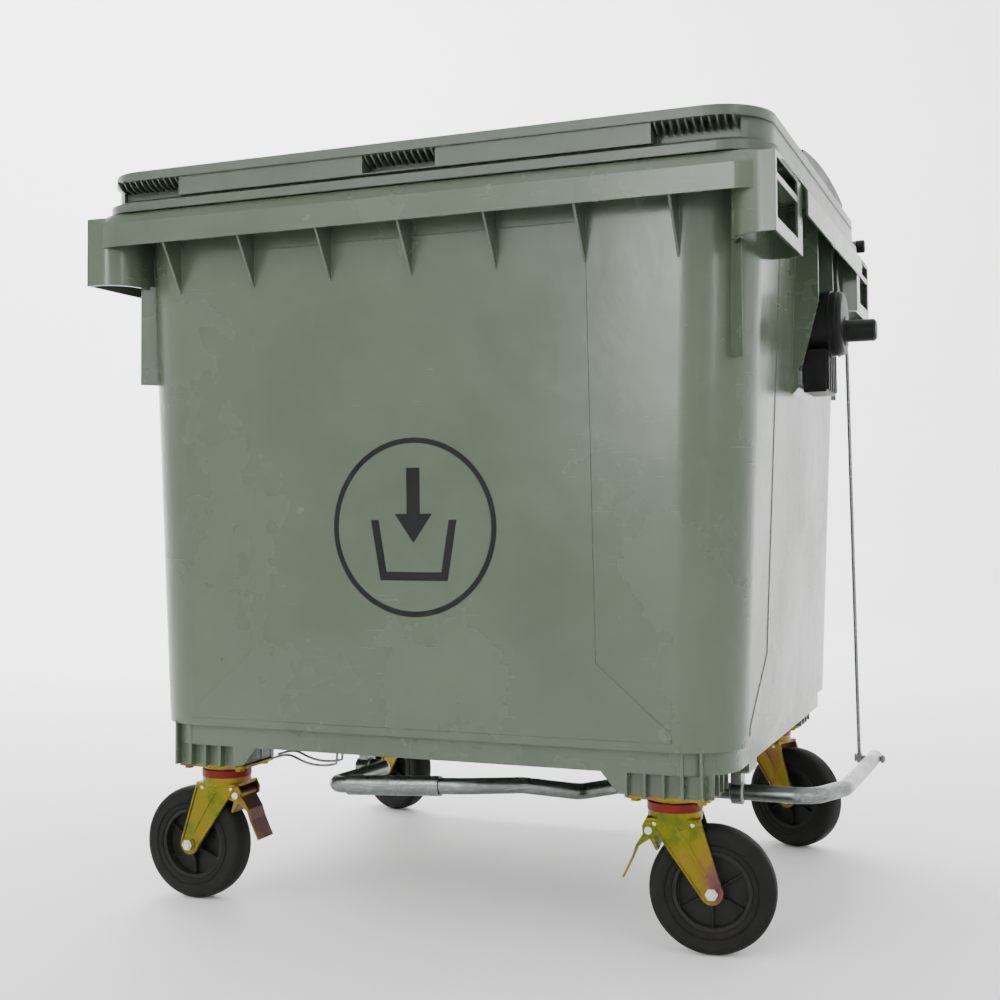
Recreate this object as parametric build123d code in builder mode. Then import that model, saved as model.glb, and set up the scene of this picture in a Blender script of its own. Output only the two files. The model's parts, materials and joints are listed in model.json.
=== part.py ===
"""Four-wheeled 1100 litre waste container with a pedal-lifted flat lid.

Millimetres. X runs to the container's right, Y to its back, Z up. The origin is on the floor under the
middle of the container. The tub, lid, trunnions, pedal linkage and every caster part are separate pieces.
"""
from build123d import *
import os
from math import cos, radians, sin

os.makedirs("parts", exist_ok=True)

# Tub
RIM_HALF_X, RIM_HALF_Y, RIM_CORNER = 625.0, 537.5, 70.0
RIM_LOW_Z, RIM_STEP_Z, RIM_TOP_Z = 1166.0, 1206.0, 1226.0
RIM_SLOPE_IN = 14.0
SKIRT_WALL = 4.0
RIM_PLATE = 5.0
TUB_TOP_X, TUB_TOP_Y, TUB_TOP_CORNER = 568.0, 480.0, 110.0
TUB_LOW_X, TUB_LOW_Y, TUB_LOW_CORNER = 528.0, 468.0, 100.0
TUB_LOW_Z = 322.0
TUB_WALL = 6.0
FOOT_INSET, FOOT_LOW_Z = 10.0, 286.0
FIN_PITCH, FIN_COUNT, FIN_WALL, FIN_LOW_Z = 151.5, 7, 4.0, 1078.0
SIDE_FIN_Y, SIDE_FIN_X, SIDE_FIN_LOW_Z, SIDE_FIN_WALL = 86.0, 605.0, 925.0, 5.0
CORNER_FIN_LOW_Z, CORNER_FIN_WALL = 926.0, 5.0
PANEL_RISE, PANEL_TOP_Z, PANEL_BEND_Z, PANEL_LOW_Z = 1.2, 1150.0, 455.0, 350.0
FLOOR_RIB_Y, FLOOR_RIB_WALL, FLOOR_RIB_LOW_Z = (-120.0, 10.0, 150.0), 4.0, 296.0
DRAIN_Y, DRAIN_R = 300.0, 30.0
LUG_X, LUG_WIDTH = (336.0, 588.0), 12.0
BLOCK_X, BLOCK_Y, BLOCK_LOW_Z = 52.0, 62.0, 262.0
ROD_SLOT_X, ROD_SLOT_Y = (576.0, 609.0), (245.0, 338.0)

# Corner pockets, written for the quadrant where X and Y are both positive
POCKET_X, POCKET_Y, POCKET_LOW_Z, POCKET_TOP_Z = 615.0, 533.0, 1100.0, 1220.0
POCKET_WALL, POCKET_SHELF_Z = 4.5, 1181.0
POCKET_INNER_Y = {-1: 305.0, 1: 352.0}
POCKET_WEB_OUT_X, POCKET_WEB_MID, POCKET_WEB_ROOT = 597.0, (550.0, 512.0), (538.0, 470.0)
POCKET_BACK_X, POCKET_BACK_SLANT = 588.0, 12.0
WINDOW_Z, WINDOW_INSET, WINDOW_END_Y, WINDOW_X = ((1121.0, 1178.0), (1188.0, 1212.0)), 40.0, 521.0, 600.0

# Casters
CASTER_X, CASTER_Y = 415.0, 388.0
PLATE_X, PLATE_Y, PLATE_LOW_Z, PLATE_TOP_Z = 136.0, 111.0, 244.0, 249.0
PLATE_BOLT_X, PLATE_BOLT_Y, PLATE_BOLT_R = 52.5, 40.0, 5.0
WHEEL_R, WHEEL_WIDTH, HUB_R, TRAIL = 100.0, 50.0, 62.0, 58.0
LEG_GAP, LEG_WALL = 58.0, 4.0
AXLE_R, KINGPIN_R, RUNNING_GAP = 6.0, 6.0, 0.05
RACE_R, RACE_DEPTH, BUSH_R = 40.0, 7.0, 9.0
CROWN_R, CROWN_LOW_Z, CROWN_WALL, CROWN_TOP_Z = 43.0, 208.0, 5.0, 222.5
SEAL_IN_R, SEAL_OUT_R, SEAL_HEIGHT = 40.5, 44.0, 14.0
KINGPIN_LOW_Z, NUT_HEIGHT, NUT_R = 199.0, 8.0, 11.0
PAD_X, PAD_Y, PAD_RIB_WALL = 124.0, 112.0, 4.5
CASTER_YAW = {"front_left": 180.0, "front_right": 9.0, "rear_left": 158.0, "rear_right": -21.0}
CASTER_SIGN = {"front_left": (-1, -1), "front_right": (1, -1), "rear_left": (-1, 1), "rear_right": (1, 1)}
BRAKE_PIVOT, BRAKE_PIN_R, LEVER_WIDTH = (-39.0, 193.0), 3.0, 48.0

# Lid
LID_HALF_X, LID_FRONT_Y, LID_BACK_Y, LID_CORNER = 606.0, -528.0, 494.0, 80.0
LID_LOW_Z, LID_FLANGE_Z, LID_NECK_Z = 1228.0, 1243.0, 1251.0
LID_LIP_LOW_Z, LID_EDGE_Z, LID_CROWN_Z = 1281.0, 1297.0, 1313.0
LID_WALL = 4.0
LID_LIP_INSET, LID_CROWN_INSET = 7.0, 180.0
LID_NECK_INSET, LID_NECK_FRONT_Y, LID_LIP_FRONT_Y, LID_LIP_CORNER = 9.0, -510.0, -531.0, 92.0
CROWN_FRONT_Y, CROWN_BACK_Y, CROWN_CORNER = -360.0, 330.0, 60.0
LID_RIB_WALL, LID_RIB_LOW_Z, LID_RIB_X, LID_RIB_Y = 3.0, 1287.0, (-350.0, 0.0, 350.0), (-330.0, -110.0, 110.0)
RIDGE_Y, RIDGE_HALF_X, RIDGE_WIDTH, RIDGE_RISE = (-190.0, 160.0), 370.0, 36.0, 3.0
GRIP_RIBS, GRIP_RIB_PITCH, GRIP_RIB_WALL, GRIP_RIB_DROP = 11, 12.0, 2.8, 13.0
GRIP_CENTRES, GRIP_WIDTH, GRIP_FACE_Y = (-492.0, 0.0, 492.0), 132.0, -492.0
HINGE_Y, HINGE_Z, HINGE_R, KNUCKLE_R = 512.0, 1262.0, 6.0, 13.0
KNUCKLE_X, KNUCKLE_WIDTH = (372.0, 552.0), 44.0
HINGE_ROD_IN_X, HINGE_ROD_OUT_X = 322.0, 604.0
CAP_R, CAP_IN_X, CAP_OUT_X = 14.0, 594.5, 612.0
LIFT_BOLT_X, LIFT_BOLT_Y, LIFT_BOLT_R = 572.0, (170.0, 215.0, 245.0), 4.0
LIFT_BAR_INNER_X, LIFT_BAR_OUTER_X = 560.0, 598.0
LIFT_BAR_FRONT_Y, LIFT_BAR_BACK_Y = -186.0, 279.0
RAIL_Y, RAIL_LENGTH, RAIL_WIDTH, RAIL_WALL = 228.0, 180.0, 22.0, 4.0

# Trunnions
PIN_Z, PIN_R, PIN_TIP_X = 1014.0, 20.0, 693.0
DRUM_Z, DRUM_R, DRUM_BACK_X, DRUM_FACE_X = 1028.0, 58.0, 574.0, 638.0
BACKING_X, BACKING_WALL, BACKING_Y, BACKING_LOW_Z, BACKING_TOP_Z = 566.0, 5.0, 140.0, 915.0, 1155.0
TRUNNION_BOLT_Y, TRUNNION_BOLT_Z, TRUNNION_BOLT_R = 28.0, 1100.0, 4.0
FLANGE_WALL, BLOCK_DEPTH = 8.0, 40.0
SUPPORT_Y, SUPPORT_HEIGHT, SUPPORT_Z = 110.0, 76.0, 940.0

# Pedal and lifting rod
PIVOT_Y, PIVOT_Z, TUBE_R, TUBE_WALL = -225.0, 222.0, 13.5, 2.5
BAR_Y, BAR_LEFT_X, BAR_RIGHT_X, BAR_LEFT_Z, BAR_RIGHT_Z, BAR_R = -438.0, -176.0, 72.0, 229.0, 242.0, 16.5
ARM_X, ARM_END_Y, ARM_END_Z = 642.0, 265.0, 205.0
ROD_R, ROD_X, ROD_TOP_X, ROD_CRANK_X, ROD_CRANK_Z = 3.5, 614.5, 586.0, 604.0, 1000.0
ROLLER_Z, ROLLER_R, RAIL_LOW_Z = 1246.0, 9.0, 1262.0
BRACKET_X = (-216.0, 340.0, 480.0)
BUSH_OUT_R = 16.5


def export(solid_part, name):
    """Label a finished piece and write its STEP file."""
    solid_part.label = name
    export_step(solid_part, f"parts/{name}.step")


def quadrant(points, sx, sy):
    """Mirror plan points from the positive quadrant to the quadrant with the given signs."""
    return [(sx * x, sy * y) for x, y in points]


def cross_plane(x):
    """Plane across the container at X, sketched as (Y, Z)."""
    return Plane(origin=(x, 0, 0), x_dir=(0, 1, 0), z_dir=(1, 0, 0))


def front_plane(y):
    """Plane facing front at Y, sketched as (X, Z)."""
    return Plane(origin=(0, y, 0), x_dir=(1, 0, 0), z_dir=(0, -1, 0))


def rounded_slab(half_x, front, back, corner, low, high, mode=Mode.ADD):
    """Upright slab with rounded plan corners."""
    with BuildSketch(Plane.XY.offset(low)) as outline:
        with Locations((0, (front + back) / 2)):
            RectangleRounded(2 * half_x, back - front, corner)
    extrude(outline.sketch, amount=high - low, mode=mode)


def rounded_taper(low_shape, low, high_shape, high, mode=Mode.ADD):
    """Straight-sided loft between two rounded plan outlines, each (half_x, front, back, corner)."""
    sections = []
    for z, (half_x, front, back, corner) in ((low, low_shape), (high, high_shape)):
        with BuildSketch(Plane.XY.offset(z)) as outline:
            with Locations((0, (front + back) / 2)):
                RectangleRounded(2 * half_x, back - front, corner)
        sections.append(outline.sketch)
    loft(sections, ruled=True, mode=mode)


def ring_outline(half_x, half_y, corner, inset=0.0):
    """Plan outline centred on the origin, moved inwards by inset."""
    return half_x - inset, inset - half_y, half_y - inset, corner - inset


def add_rim():
    """Comb rim: an inverted channel round the top of the tub."""
    outer = ring_outline(RIM_HALF_X, RIM_HALF_Y, RIM_CORNER)
    upper = ring_outline(RIM_HALF_X, RIM_HALF_Y, RIM_CORNER, RIM_SLOPE_IN)
    rounded_slab(*outer, RIM_LOW_Z, RIM_STEP_Z)
    rounded_taper(outer, RIM_STEP_Z, upper, RIM_TOP_Z)
    inner = ring_outline(RIM_HALF_X, RIM_HALF_Y, RIM_CORNER, SKIRT_WALL)
    inner_upper = ring_outline(RIM_HALF_X, RIM_HALF_Y, RIM_CORNER, RIM_SLOPE_IN)
    rounded_slab(*inner, RIM_LOW_Z, RIM_STEP_Z, Mode.SUBTRACT)
    rounded_taper(inner, RIM_STEP_Z, inner_upper, RIM_TOP_Z - RIM_PLATE, Mode.SUBTRACT)
    for sx in (-1, 1):
        for sy in (-1, 1):
            inner_y = POCKET_INNER_Y[sy]
            with BuildSketch(Plane.XY.offset(RIM_LOW_Z)) as cut:
                corners = [(WINDOW_X, inner_y), (RIM_HALF_X + 15, inner_y),
                           (RIM_HALF_X + 15, WINDOW_END_Y + 1), (WINDOW_X, WINDOW_END_Y + 1)]
                Polygon(*quadrant(corners, sx, sy), align=None)
            extrude(cut.sketch, amount=POCKET_TOP_Z - RIM_LOW_Z - SKIRT_WALL, mode=Mode.SUBTRACT)


def pocket_plan(sx, sy, inset, z):
    """Plan of a corner pocket at height z, its outer web curving back to the tub's corner."""
    inner_y = POCKET_INNER_Y[sy]
    side, end = POCKET_X - inset, POCKET_Y - inset
    out_x = POCKET_WEB_OUT_X
    mid_x, mid_y = POCKET_WEB_MID
    root_x, root_y = POCKET_WEB_ROOT
    back_y = inner_y - POCKET_BACK_SLANT + inset
    web = quadrant([(out_x, end), (mid_x + inset, mid_y - inset), (root_x + inset, root_y)], sx, sy)
    rest = quadrant([(root_x + inset, root_y), (root_x + inset, back_y), (POCKET_BACK_X, back_y),
                     (side, inner_y + inset), (side, end), (out_x, end)], sx, sy)
    with BuildSketch(Plane.XY.offset(z)) as plan:
        with BuildLine():
            ThreePointArc(*web)
            Polyline(*rest)
        make_face()
    return plan.sketch


def add_pocket(sx, sy):
    """Open-bottomed corner pocket with a shelf and two windows in its side plate."""
    extrude(pocket_plan(sx, sy, 0.0, POCKET_LOW_Z), amount=POCKET_TOP_Z - POCKET_LOW_Z)
    extrude(pocket_plan(sx, sy, POCKET_WALL, POCKET_LOW_Z), amount=POCKET_SHELF_Z - POCKET_LOW_Z,
            mode=Mode.SUBTRACT)
    shelf_top = POCKET_SHELF_Z + POCKET_WALL
    extrude(pocket_plan(sx, sy, POCKET_WALL, shelf_top), amount=POCKET_TOP_Z - shelf_top, mode=Mode.SUBTRACT)
    start = POCKET_INNER_Y[sy] + WINDOW_INSET
    for low, high in WINDOW_Z:
        with BuildSketch(Plane.XY.offset(low)) as window:
            corners = [(WINDOW_X, start), (RIM_HALF_X, start), (RIM_HALF_X, WINDOW_END_Y),
                       (WINDOW_X, WINDOW_END_Y)]
            Polygon(*quadrant(corners, sx, sy), align=None)
        extrude(window.sketch, amount=high - low, mode=Mode.SUBTRACT)


def add_corner_fin(sx, sy):
    """Thin upright fin on the rounded corner, below the pocket."""
    centre_x, centre_y = TUB_TOP_X - TUB_TOP_CORNER, TUB_TOP_Y - TUB_TOP_CORNER
    reach_in, reach_out, half_wall = TUB_TOP_CORNER - 20, TUB_TOP_CORNER + 21, CORNER_FIN_WALL / 2
    diagonal = sin(radians(45))
    corners = [(reach_in, -half_wall), (reach_out, -half_wall), (reach_out, half_wall), (reach_in, half_wall)]
    turned = [(centre_x + diagonal * (u - v), centre_y + diagonal * (u + v)) for u, v in corners]
    with BuildSketch(Plane.XY.offset(CORNER_FIN_LOW_Z)) as fin:
        Polygon(*quadrant(turned, sx, sy), align=None)
    extrude(fin.sketch, amount=POCKET_LOW_Z + 6 - CORNER_FIN_LOW_Z)


def add_rim_fins(sy):
    """Row of triangular fins between the rim skirt and the wall."""
    skirt, wall = RIM_HALF_Y - SKIRT_WALL + 1, TUB_TOP_Y - 4
    profile = [(skirt, RIM_LOW_Z + 4), (skirt, RIM_STEP_Z), (RIM_HALF_Y - RIM_SLOPE_IN - 2, RIM_TOP_Z - 3),
               (wall, RIM_TOP_Z - 3), (wall, FIN_LOW_Z)]
    for i in range(FIN_COUNT):
        x = (i - (FIN_COUNT - 1) / 2) * FIN_PITCH
        with BuildSketch(cross_plane(x)) as fin:
            Polygon(*[(sy * y, z) for y, z in profile], align=None)
        extrude(fin.sketch, amount=FIN_WALL / 2, both=True)


def add_side_fins(sx):
    """Two upright fins each side that box in the trunnion, and the flat boss that its steel plate lies on."""
    root_x = TUB_LOW_X + 22
    profile = [(root_x, SIDE_FIN_LOW_Z), (BACKING_X + 10, SIDE_FIN_LOW_Z + 25), (SIDE_FIN_X, PIN_Z + 46),
               (SIDE_FIN_X, RIM_TOP_Z - 3), (root_x, RIM_TOP_Z - 3)]
    for y in (-SIDE_FIN_Y, SIDE_FIN_Y):
        with BuildSketch(front_plane(y)) as fin:
            Polygon(*[(sx * x, z) for x, z in profile], align=None)
        extrude(fin.sketch, amount=SIDE_FIN_WALL / 2, both=True)
    boss = [(root_x, BACKING_LOW_Z - 24), (BACKING_X, BACKING_LOW_Z - 6), (BACKING_X, BACKING_TOP_Z + 6),
            (root_x, BACKING_TOP_Z + 6)]
    with BuildSketch(front_plane(0)) as side:
        Polygon(*[(sx * x, z) for x, z in boss], align=None)
    extrude(side.sketch, amount=BACKING_Y / 2 + 6, both=True)


def wall_plane(sx, sy):
    """Plane on a sloping outer wall, from the middle of its lower edge, sketched as (along, up)."""
    height = RIM_TOP_Z - TUB_LOW_Z
    if sy:
        lean = TUB_TOP_Y - TUB_LOW_Y
        return Plane(origin=(0, sy * TUB_LOW_Y, TUB_LOW_Z), x_dir=(1, 0, 0), z_dir=(0, sy * height, -lean))
    lean = TUB_TOP_X - TUB_LOW_X
    return Plane(origin=(sx * TUB_LOW_X, 0, TUB_LOW_Z), x_dir=(0, 1, 0), z_dir=(sx * height, 0, -lean))


def add_wall_panel(sx, sy, half_width):
    """Shallow raised panel whose edges run down the wall and splay out near the bottom."""
    base = wall_plane(sx, sy).offset(-1)
    up = 1 if base.y_dir.Z > 0 else -1
    splay = half_width + 120
    edge = [(half_width - 8, PANEL_TOP_Z), (half_width, PANEL_BEND_Z), (splay, PANEL_LOW_Z),
            (splay, PANEL_LOW_Z - 14)]
    outline = edge + [(-x, z) for x, z in reversed(edge)]
    with BuildSketch(base) as panel:
        Polygon(*[(x, up * (z - TUB_LOW_Z)) for x, z in outline], align=None)
    extrude(panel.sketch, amount=1 + PANEL_RISE)


def add_foot():
    """Inset skirt under the tub's floor, with cross ribs."""
    outer = ring_outline(TUB_LOW_X, TUB_LOW_Y, TUB_LOW_CORNER, FOOT_INSET)
    inner = ring_outline(TUB_LOW_X, TUB_LOW_Y, TUB_LOW_CORNER, FOOT_INSET + TUB_WALL)
    rounded_slab(*outer, FOOT_LOW_Z, TUB_LOW_Z + 2)
    rounded_slab(*inner, FOOT_LOW_Z, TUB_LOW_Z + 2, Mode.SUBTRACT)
    with BuildSketch(Plane.XY.offset(FLOOR_RIB_LOW_Z)) as ribs:
        with Locations(*[(0, y) for y in FLOOR_RIB_Y]):
            Rectangle(2 * (inner[0] + 2), FLOOR_RIB_WALL)
    extrude(ribs.sketch, amount=TUB_LOW_Z + 2 - FLOOR_RIB_LOW_Z)


def add_caster_pad(sx, sy):
    """Ribbed block that a caster bolts to."""
    with BuildSketch(Plane.XY.offset(PLATE_TOP_Z)) as pad:
        with Locations((sx * CASTER_X, sy * CASTER_Y)):
            Rectangle(PAD_X, PAD_Y)
            for i in range(5):
                with Locations(((i - 2) * 30, sy * 6)):
                    Rectangle(PAD_RIB_WALL, PAD_Y + 16)
            for i in range(4):
                with Locations((sx * 6, (i - 1.5) * 32)):
                    Rectangle(PAD_X + 14, PAD_RIB_WALL)
    extrude(pad.sketch, amount=TUB_LOW_Z + 4 - PLATE_TOP_Z)
    inner_x = CASTER_X - PAD_X / 2 + 2
    web = [(inner_x - 12, PLATE_TOP_Z + 4), (inner_x, PLATE_TOP_Z + 4), (inner_x, FLOOR_RIB_LOW_Z + 4),
           (inner_x - 53, FLOOR_RIB_LOW_Z + 4)]
    with BuildSketch(front_plane(sy * (TUB_LOW_Y - 14))) as gusset:
        Polygon(*[(sx * x, z) for x, z in web], align=None)
    extrude(gusset.sketch, amount=4, both=True)


def make_tub():
    """One moulded piece: tapered tub, comb rim, pockets, fins, foot skirt, caster pads and hinge lugs."""
    low = ring_outline(TUB_LOW_X, TUB_LOW_Y, TUB_LOW_CORNER)
    top = ring_outline(TUB_TOP_X, TUB_TOP_Y, TUB_TOP_CORNER)
    signs = [(sx, sy) for sx in (-1, 1) for sy in (-1, 1)]
    with BuildPart() as tub:
        add_foot()
        add_rim()
        for sx, sy in signs:
            add_pocket(sx, sy)
        rounded_taper(low, TUB_LOW_Z, top, RIM_TOP_Z)
        for sx, sy, half_width in ((0, -1, 312), (0, 1, 312), (-1, 0, 236), (1, 0, 236)):
            add_wall_panel(sx, sy, half_width)
        for sx, sy in signs:
            add_corner_fin(sx, sy)
            add_caster_pad(sx, sy)
        for side in (-1, 1):
            add_rim_fins(side)
            add_side_fins(side)
        with BuildSketch(Plane.XY.offset(RIM_TOP_Z - 6)):
            with Locations(*[(side * x, HINGE_Y - 4) for side in (-1, 1) for x in LUG_X]):
                Rectangle(LUG_WIDTH, 2 * KNUCKLE_R)
        extrude(amount=HINGE_Z - RIM_TOP_Z + 6)
        for x in [side * lug for side in (-1, 1) for lug in LUG_X]:
            with BuildSketch(cross_plane(x)):
                with Locations((HINGE_Y, HINGE_Z)):
                    Circle(KNUCKLE_R)
            extrude(amount=LUG_WIDTH / 2, both=True)
        for x in BRACKET_X:
            with BuildSketch(Plane.XY.offset(BLOCK_LOW_Z)):
                with Locations((x, PIVOT_Y)):
                    Rectangle(BLOCK_X, BLOCK_Y)
            extrude(amount=TUB_LOW_Z + 4 - BLOCK_LOW_Z)
        rounded_taper(ring_outline(TUB_LOW_X, TUB_LOW_Y, TUB_LOW_CORNER, TUB_WALL), TUB_LOW_Z + TUB_WALL,
                      ring_outline(TUB_TOP_X, TUB_TOP_Y, TUB_TOP_CORNER, TUB_WALL), RIM_TOP_Z, Mode.SUBTRACT)
        # Slot in the rim plate that the lifting rod comes up through
        with BuildSketch(Plane.XY.offset(RIM_STEP_Z)):
            with Locations((sum(ROD_SLOT_X) / 2, sum(ROD_SLOT_Y) / 2)):
                Rectangle(ROD_SLOT_X[1] - ROD_SLOT_X[0], ROD_SLOT_Y[1] - ROD_SLOT_Y[0])
        extrude(amount=RIM_TOP_Z - RIM_STEP_Z + 10, mode=Mode.SUBTRACT)
        for side in (-1, 1):
            with BuildSketch(cross_plane(side * (BACKING_X - 10))):
                with Locations((-TRUNNION_BOLT_Y, TRUNNION_BOLT_Z), (TRUNNION_BOLT_Y, TRUNNION_BOLT_Z)):
                    Circle(TRUNNION_BOLT_R)
            extrude(amount=side * 12, mode=Mode.SUBTRACT)
        with BuildSketch(cross_plane(-640)):
            with Locations((HINGE_Y, HINGE_Z)):
                Circle(HINGE_R)
        extrude(amount=1280, mode=Mode.SUBTRACT)
        for sx, sy in signs:
            with BuildSketch(Plane.XY.offset(PLATE_TOP_Z)):
                with Locations((sx * CASTER_X, sy * CASTER_Y)):
                    with GridLocations(2 * PLATE_BOLT_X, 2 * PLATE_BOLT_Y, 2, 2):
                        Circle(PLATE_BOLT_R)
            extrude(amount=30, mode=Mode.SUBTRACT)
        with BuildSketch(Plane.XY.offset(BLOCK_LOW_Z)):
            with Locations(*[(x + dx, PIVOT_Y + dy) for x in BRACKET_X for dx, dy in ((-15, 22), (15, 22))]):
                Circle(3)
        extrude(amount=22, mode=Mode.SUBTRACT)
        # Drain hole near the back of the floor
        with BuildSketch(Plane.XY.offset(TUB_LOW_Z - 4)):
            with Locations((0, DRAIN_Y)):
                Circle(DRAIN_R)
        extrude(amount=20, mode=Mode.SUBTRACT)
    export(tub.part, "tub")


def make_lid():
    """Moulded hollow lid with a stepped flange, a crowned top, cross ribs and three recessed finger grips."""
    flange = (LID_HALF_X, LID_FRONT_Y, LID_BACK_Y, LID_CORNER)
    neck = (LID_HALF_X - LID_NECK_INSET, LID_NECK_FRONT_Y, LID_BACK_Y - 4, LID_CORNER - 6)
    lip = (LID_HALF_X - LID_LIP_INSET, LID_LIP_FRONT_Y, LID_BACK_Y - 2, LID_LIP_CORNER)
    crown = (LID_HALF_X - LID_CROWN_INSET, CROWN_FRONT_Y, CROWN_BACK_Y, CROWN_CORNER)
    inside = (neck[0] - LID_WALL, GRIP_FACE_Y + LID_WALL, neck[2] - LID_WALL, CROWN_CORNER)
    inner_top = LID_EDGE_Z - LID_WALL
    inner_crown = (crown[0] - 8, crown[1] + 8, crown[2] - 8, crown[3] - 8)
    with BuildPart() as hollow:
        rounded_slab(*inside, LID_LOW_Z, inner_top)
        rounded_taper(inside, inner_top, inner_crown, LID_CROWN_Z - LID_WALL)
        with BuildSketch(Plane.XY.offset(LID_RIB_LOW_Z)) as ribs:
            with Locations(*[(0, y) for y in LID_RIB_Y]):
                Rectangle(2 * LID_HALF_X, LID_RIB_WALL)
            with Locations(*[(x, 0) for x in LID_RIB_X]):
                Rectangle(LID_RIB_WALL, 2 * LID_BACK_Y)
        extrude(ribs.sketch, amount=LID_CROWN_Z - LID_RIB_LOW_Z, mode=Mode.SUBTRACT)
    with BuildPart() as lid:
        rounded_slab(*flange, LID_LOW_Z, LID_FLANGE_Z)
        rounded_taper(flange, LID_FLANGE_Z, neck, LID_NECK_Z)
        rounded_slab(*neck, LID_NECK_Z, LID_LIP_LOW_Z)
        rounded_slab(*lip, LID_LIP_LOW_Z, LID_EDGE_Z)
        rounded_taper(lip, LID_EDGE_Z, crown, LID_CROWN_Z)
        # Raised front faces between the grips
        face_end = GRIP_CENTRES[2] - GRIP_WIDTH / 2
        with BuildSketch(Plane.XY.offset(LID_NECK_Z - 2)):
            with Locations((0, LID_NECK_FRONT_Y - 6)):
                Rectangle(2 * face_end, 20)
        extrude(amount=LID_LIP_LOW_Z - LID_NECK_Z + 2)
        for x in GRIP_CENTRES:
            with BuildSketch(Plane.XY.offset(LID_NECK_Z)):
                with Locations((x, GRIP_FACE_Y - 30)):
                    Rectangle(GRIP_WIDTH, 60)
            extrude(amount=LID_LIP_LOW_Z - LID_NECK_Z, mode=Mode.SUBTRACT)
        with BuildSketch(Plane.XY.offset(LID_CROWN_Z - 1)):
            with Locations(*[(0, y) for y in RIDGE_Y]):
                RectangleRounded(2 * RIDGE_HALF_X, RIDGE_WIDTH, RIDGE_WIDTH / 3)
        extrude(amount=1 + RIDGE_RISE)
        add(hollow.part, mode=Mode.SUBTRACT)
        for x in GRIP_CENTRES:
            add_grip_ribs(x)
        for x in [side * knuckle for side in (-1, 1) for knuckle in KNUCKLE_X]:
            with BuildSketch(cross_plane(x)):
                with Locations((HINGE_Y, HINGE_Z)):
                    Circle(KNUCKLE_R)
                Polygon((LID_BACK_Y - 6, HINGE_Z - 9), (HINGE_Y, HINGE_Z - KNUCKLE_R),
                        (HINGE_Y, HINGE_Z + KNUCKLE_R), (LID_BACK_Y - 6, LID_EDGE_Z - 6), align=None)
            extrude(amount=KNUCKLE_WIDTH / 2, both=True)
        with BuildSketch(cross_plane(-640)):
            with Locations((HINGE_Y, HINGE_Z)):
                Circle(HINGE_R + RUNNING_GAP)
        extrude(amount=1280, mode=Mode.SUBTRACT)
        with BuildSketch(Plane.XY.offset(LID_LIP_LOW_Z)):
            with Locations(*[(LIFT_BOLT_X, y) for y in LIFT_BOLT_Y]):
                Circle(LIFT_BOLT_R)
        extrude(amount=60, mode=Mode.SUBTRACT)
    export(lid.part, "lid")


def add_grip_ribs(centre_x):
    """Row of thin curved ribs under the lip of one grip."""
    tip_y, root_y = LID_LIP_FRONT_Y + 2, GRIP_FACE_Y + 1
    top_z, root_z = LID_LIP_LOW_Z + 2, LID_LIP_LOW_Z - GRIP_RIB_DROP
    for i in range(GRIP_RIBS):
        x = centre_x + (i - (GRIP_RIBS - 1) / 2) * GRIP_RIB_PITCH
        with BuildSketch(cross_plane(x)) as rib:
            with BuildLine():
                Polyline((root_y, root_z), (root_y, top_z), (tip_y, top_z), (tip_y, LID_LIP_LOW_Z))
                ThreePointArc((tip_y, LID_LIP_LOW_Z), (tip_y + 9, LID_LIP_LOW_Z - 9), (root_y, root_z))
            make_face()
        extrude(rib.sketch, amount=GRIP_RIB_WALL / 2, both=True)


def make_hinges():
    """Hinge rods fixed in the tub's lugs, with a cap on each outer end."""
    for name, side in (("left", -1), ("right", 1)):
        with BuildPart() as rod:
            with BuildSketch(cross_plane(side * HINGE_ROD_IN_X)):
                with Locations((HINGE_Y, HINGE_Z)):
                    Circle(HINGE_R)
            extrude(amount=side * (HINGE_ROD_OUT_X - HINGE_ROD_IN_X))
        export(rod.part, f"hinge_rod_{name}")
    with BuildPart() as caps:
        for side in (-1, 1):
            with BuildSketch(cross_plane(side * CAP_IN_X)):
                with Locations((HINGE_Y, HINGE_Z)):
                    Circle(CAP_R)
            extrude(amount=side * (CAP_OUT_X - CAP_IN_X))
        rims = caps.edges().filter_by(GeomType.CIRCLE).group_by(Axis.X)
        fillet(rims[0] + rims[-1], 3)
        for side in (-1, 1):
            with BuildSketch(cross_plane(side * CAP_IN_X)):
                with Locations((HINGE_Y, HINGE_Z)):
                    Circle(HINGE_R)
            extrude(amount=side * (HINGE_ROD_OUT_X - CAP_IN_X), mode=Mode.SUBTRACT)
    export(caps.part, "hinge_caps")


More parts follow.
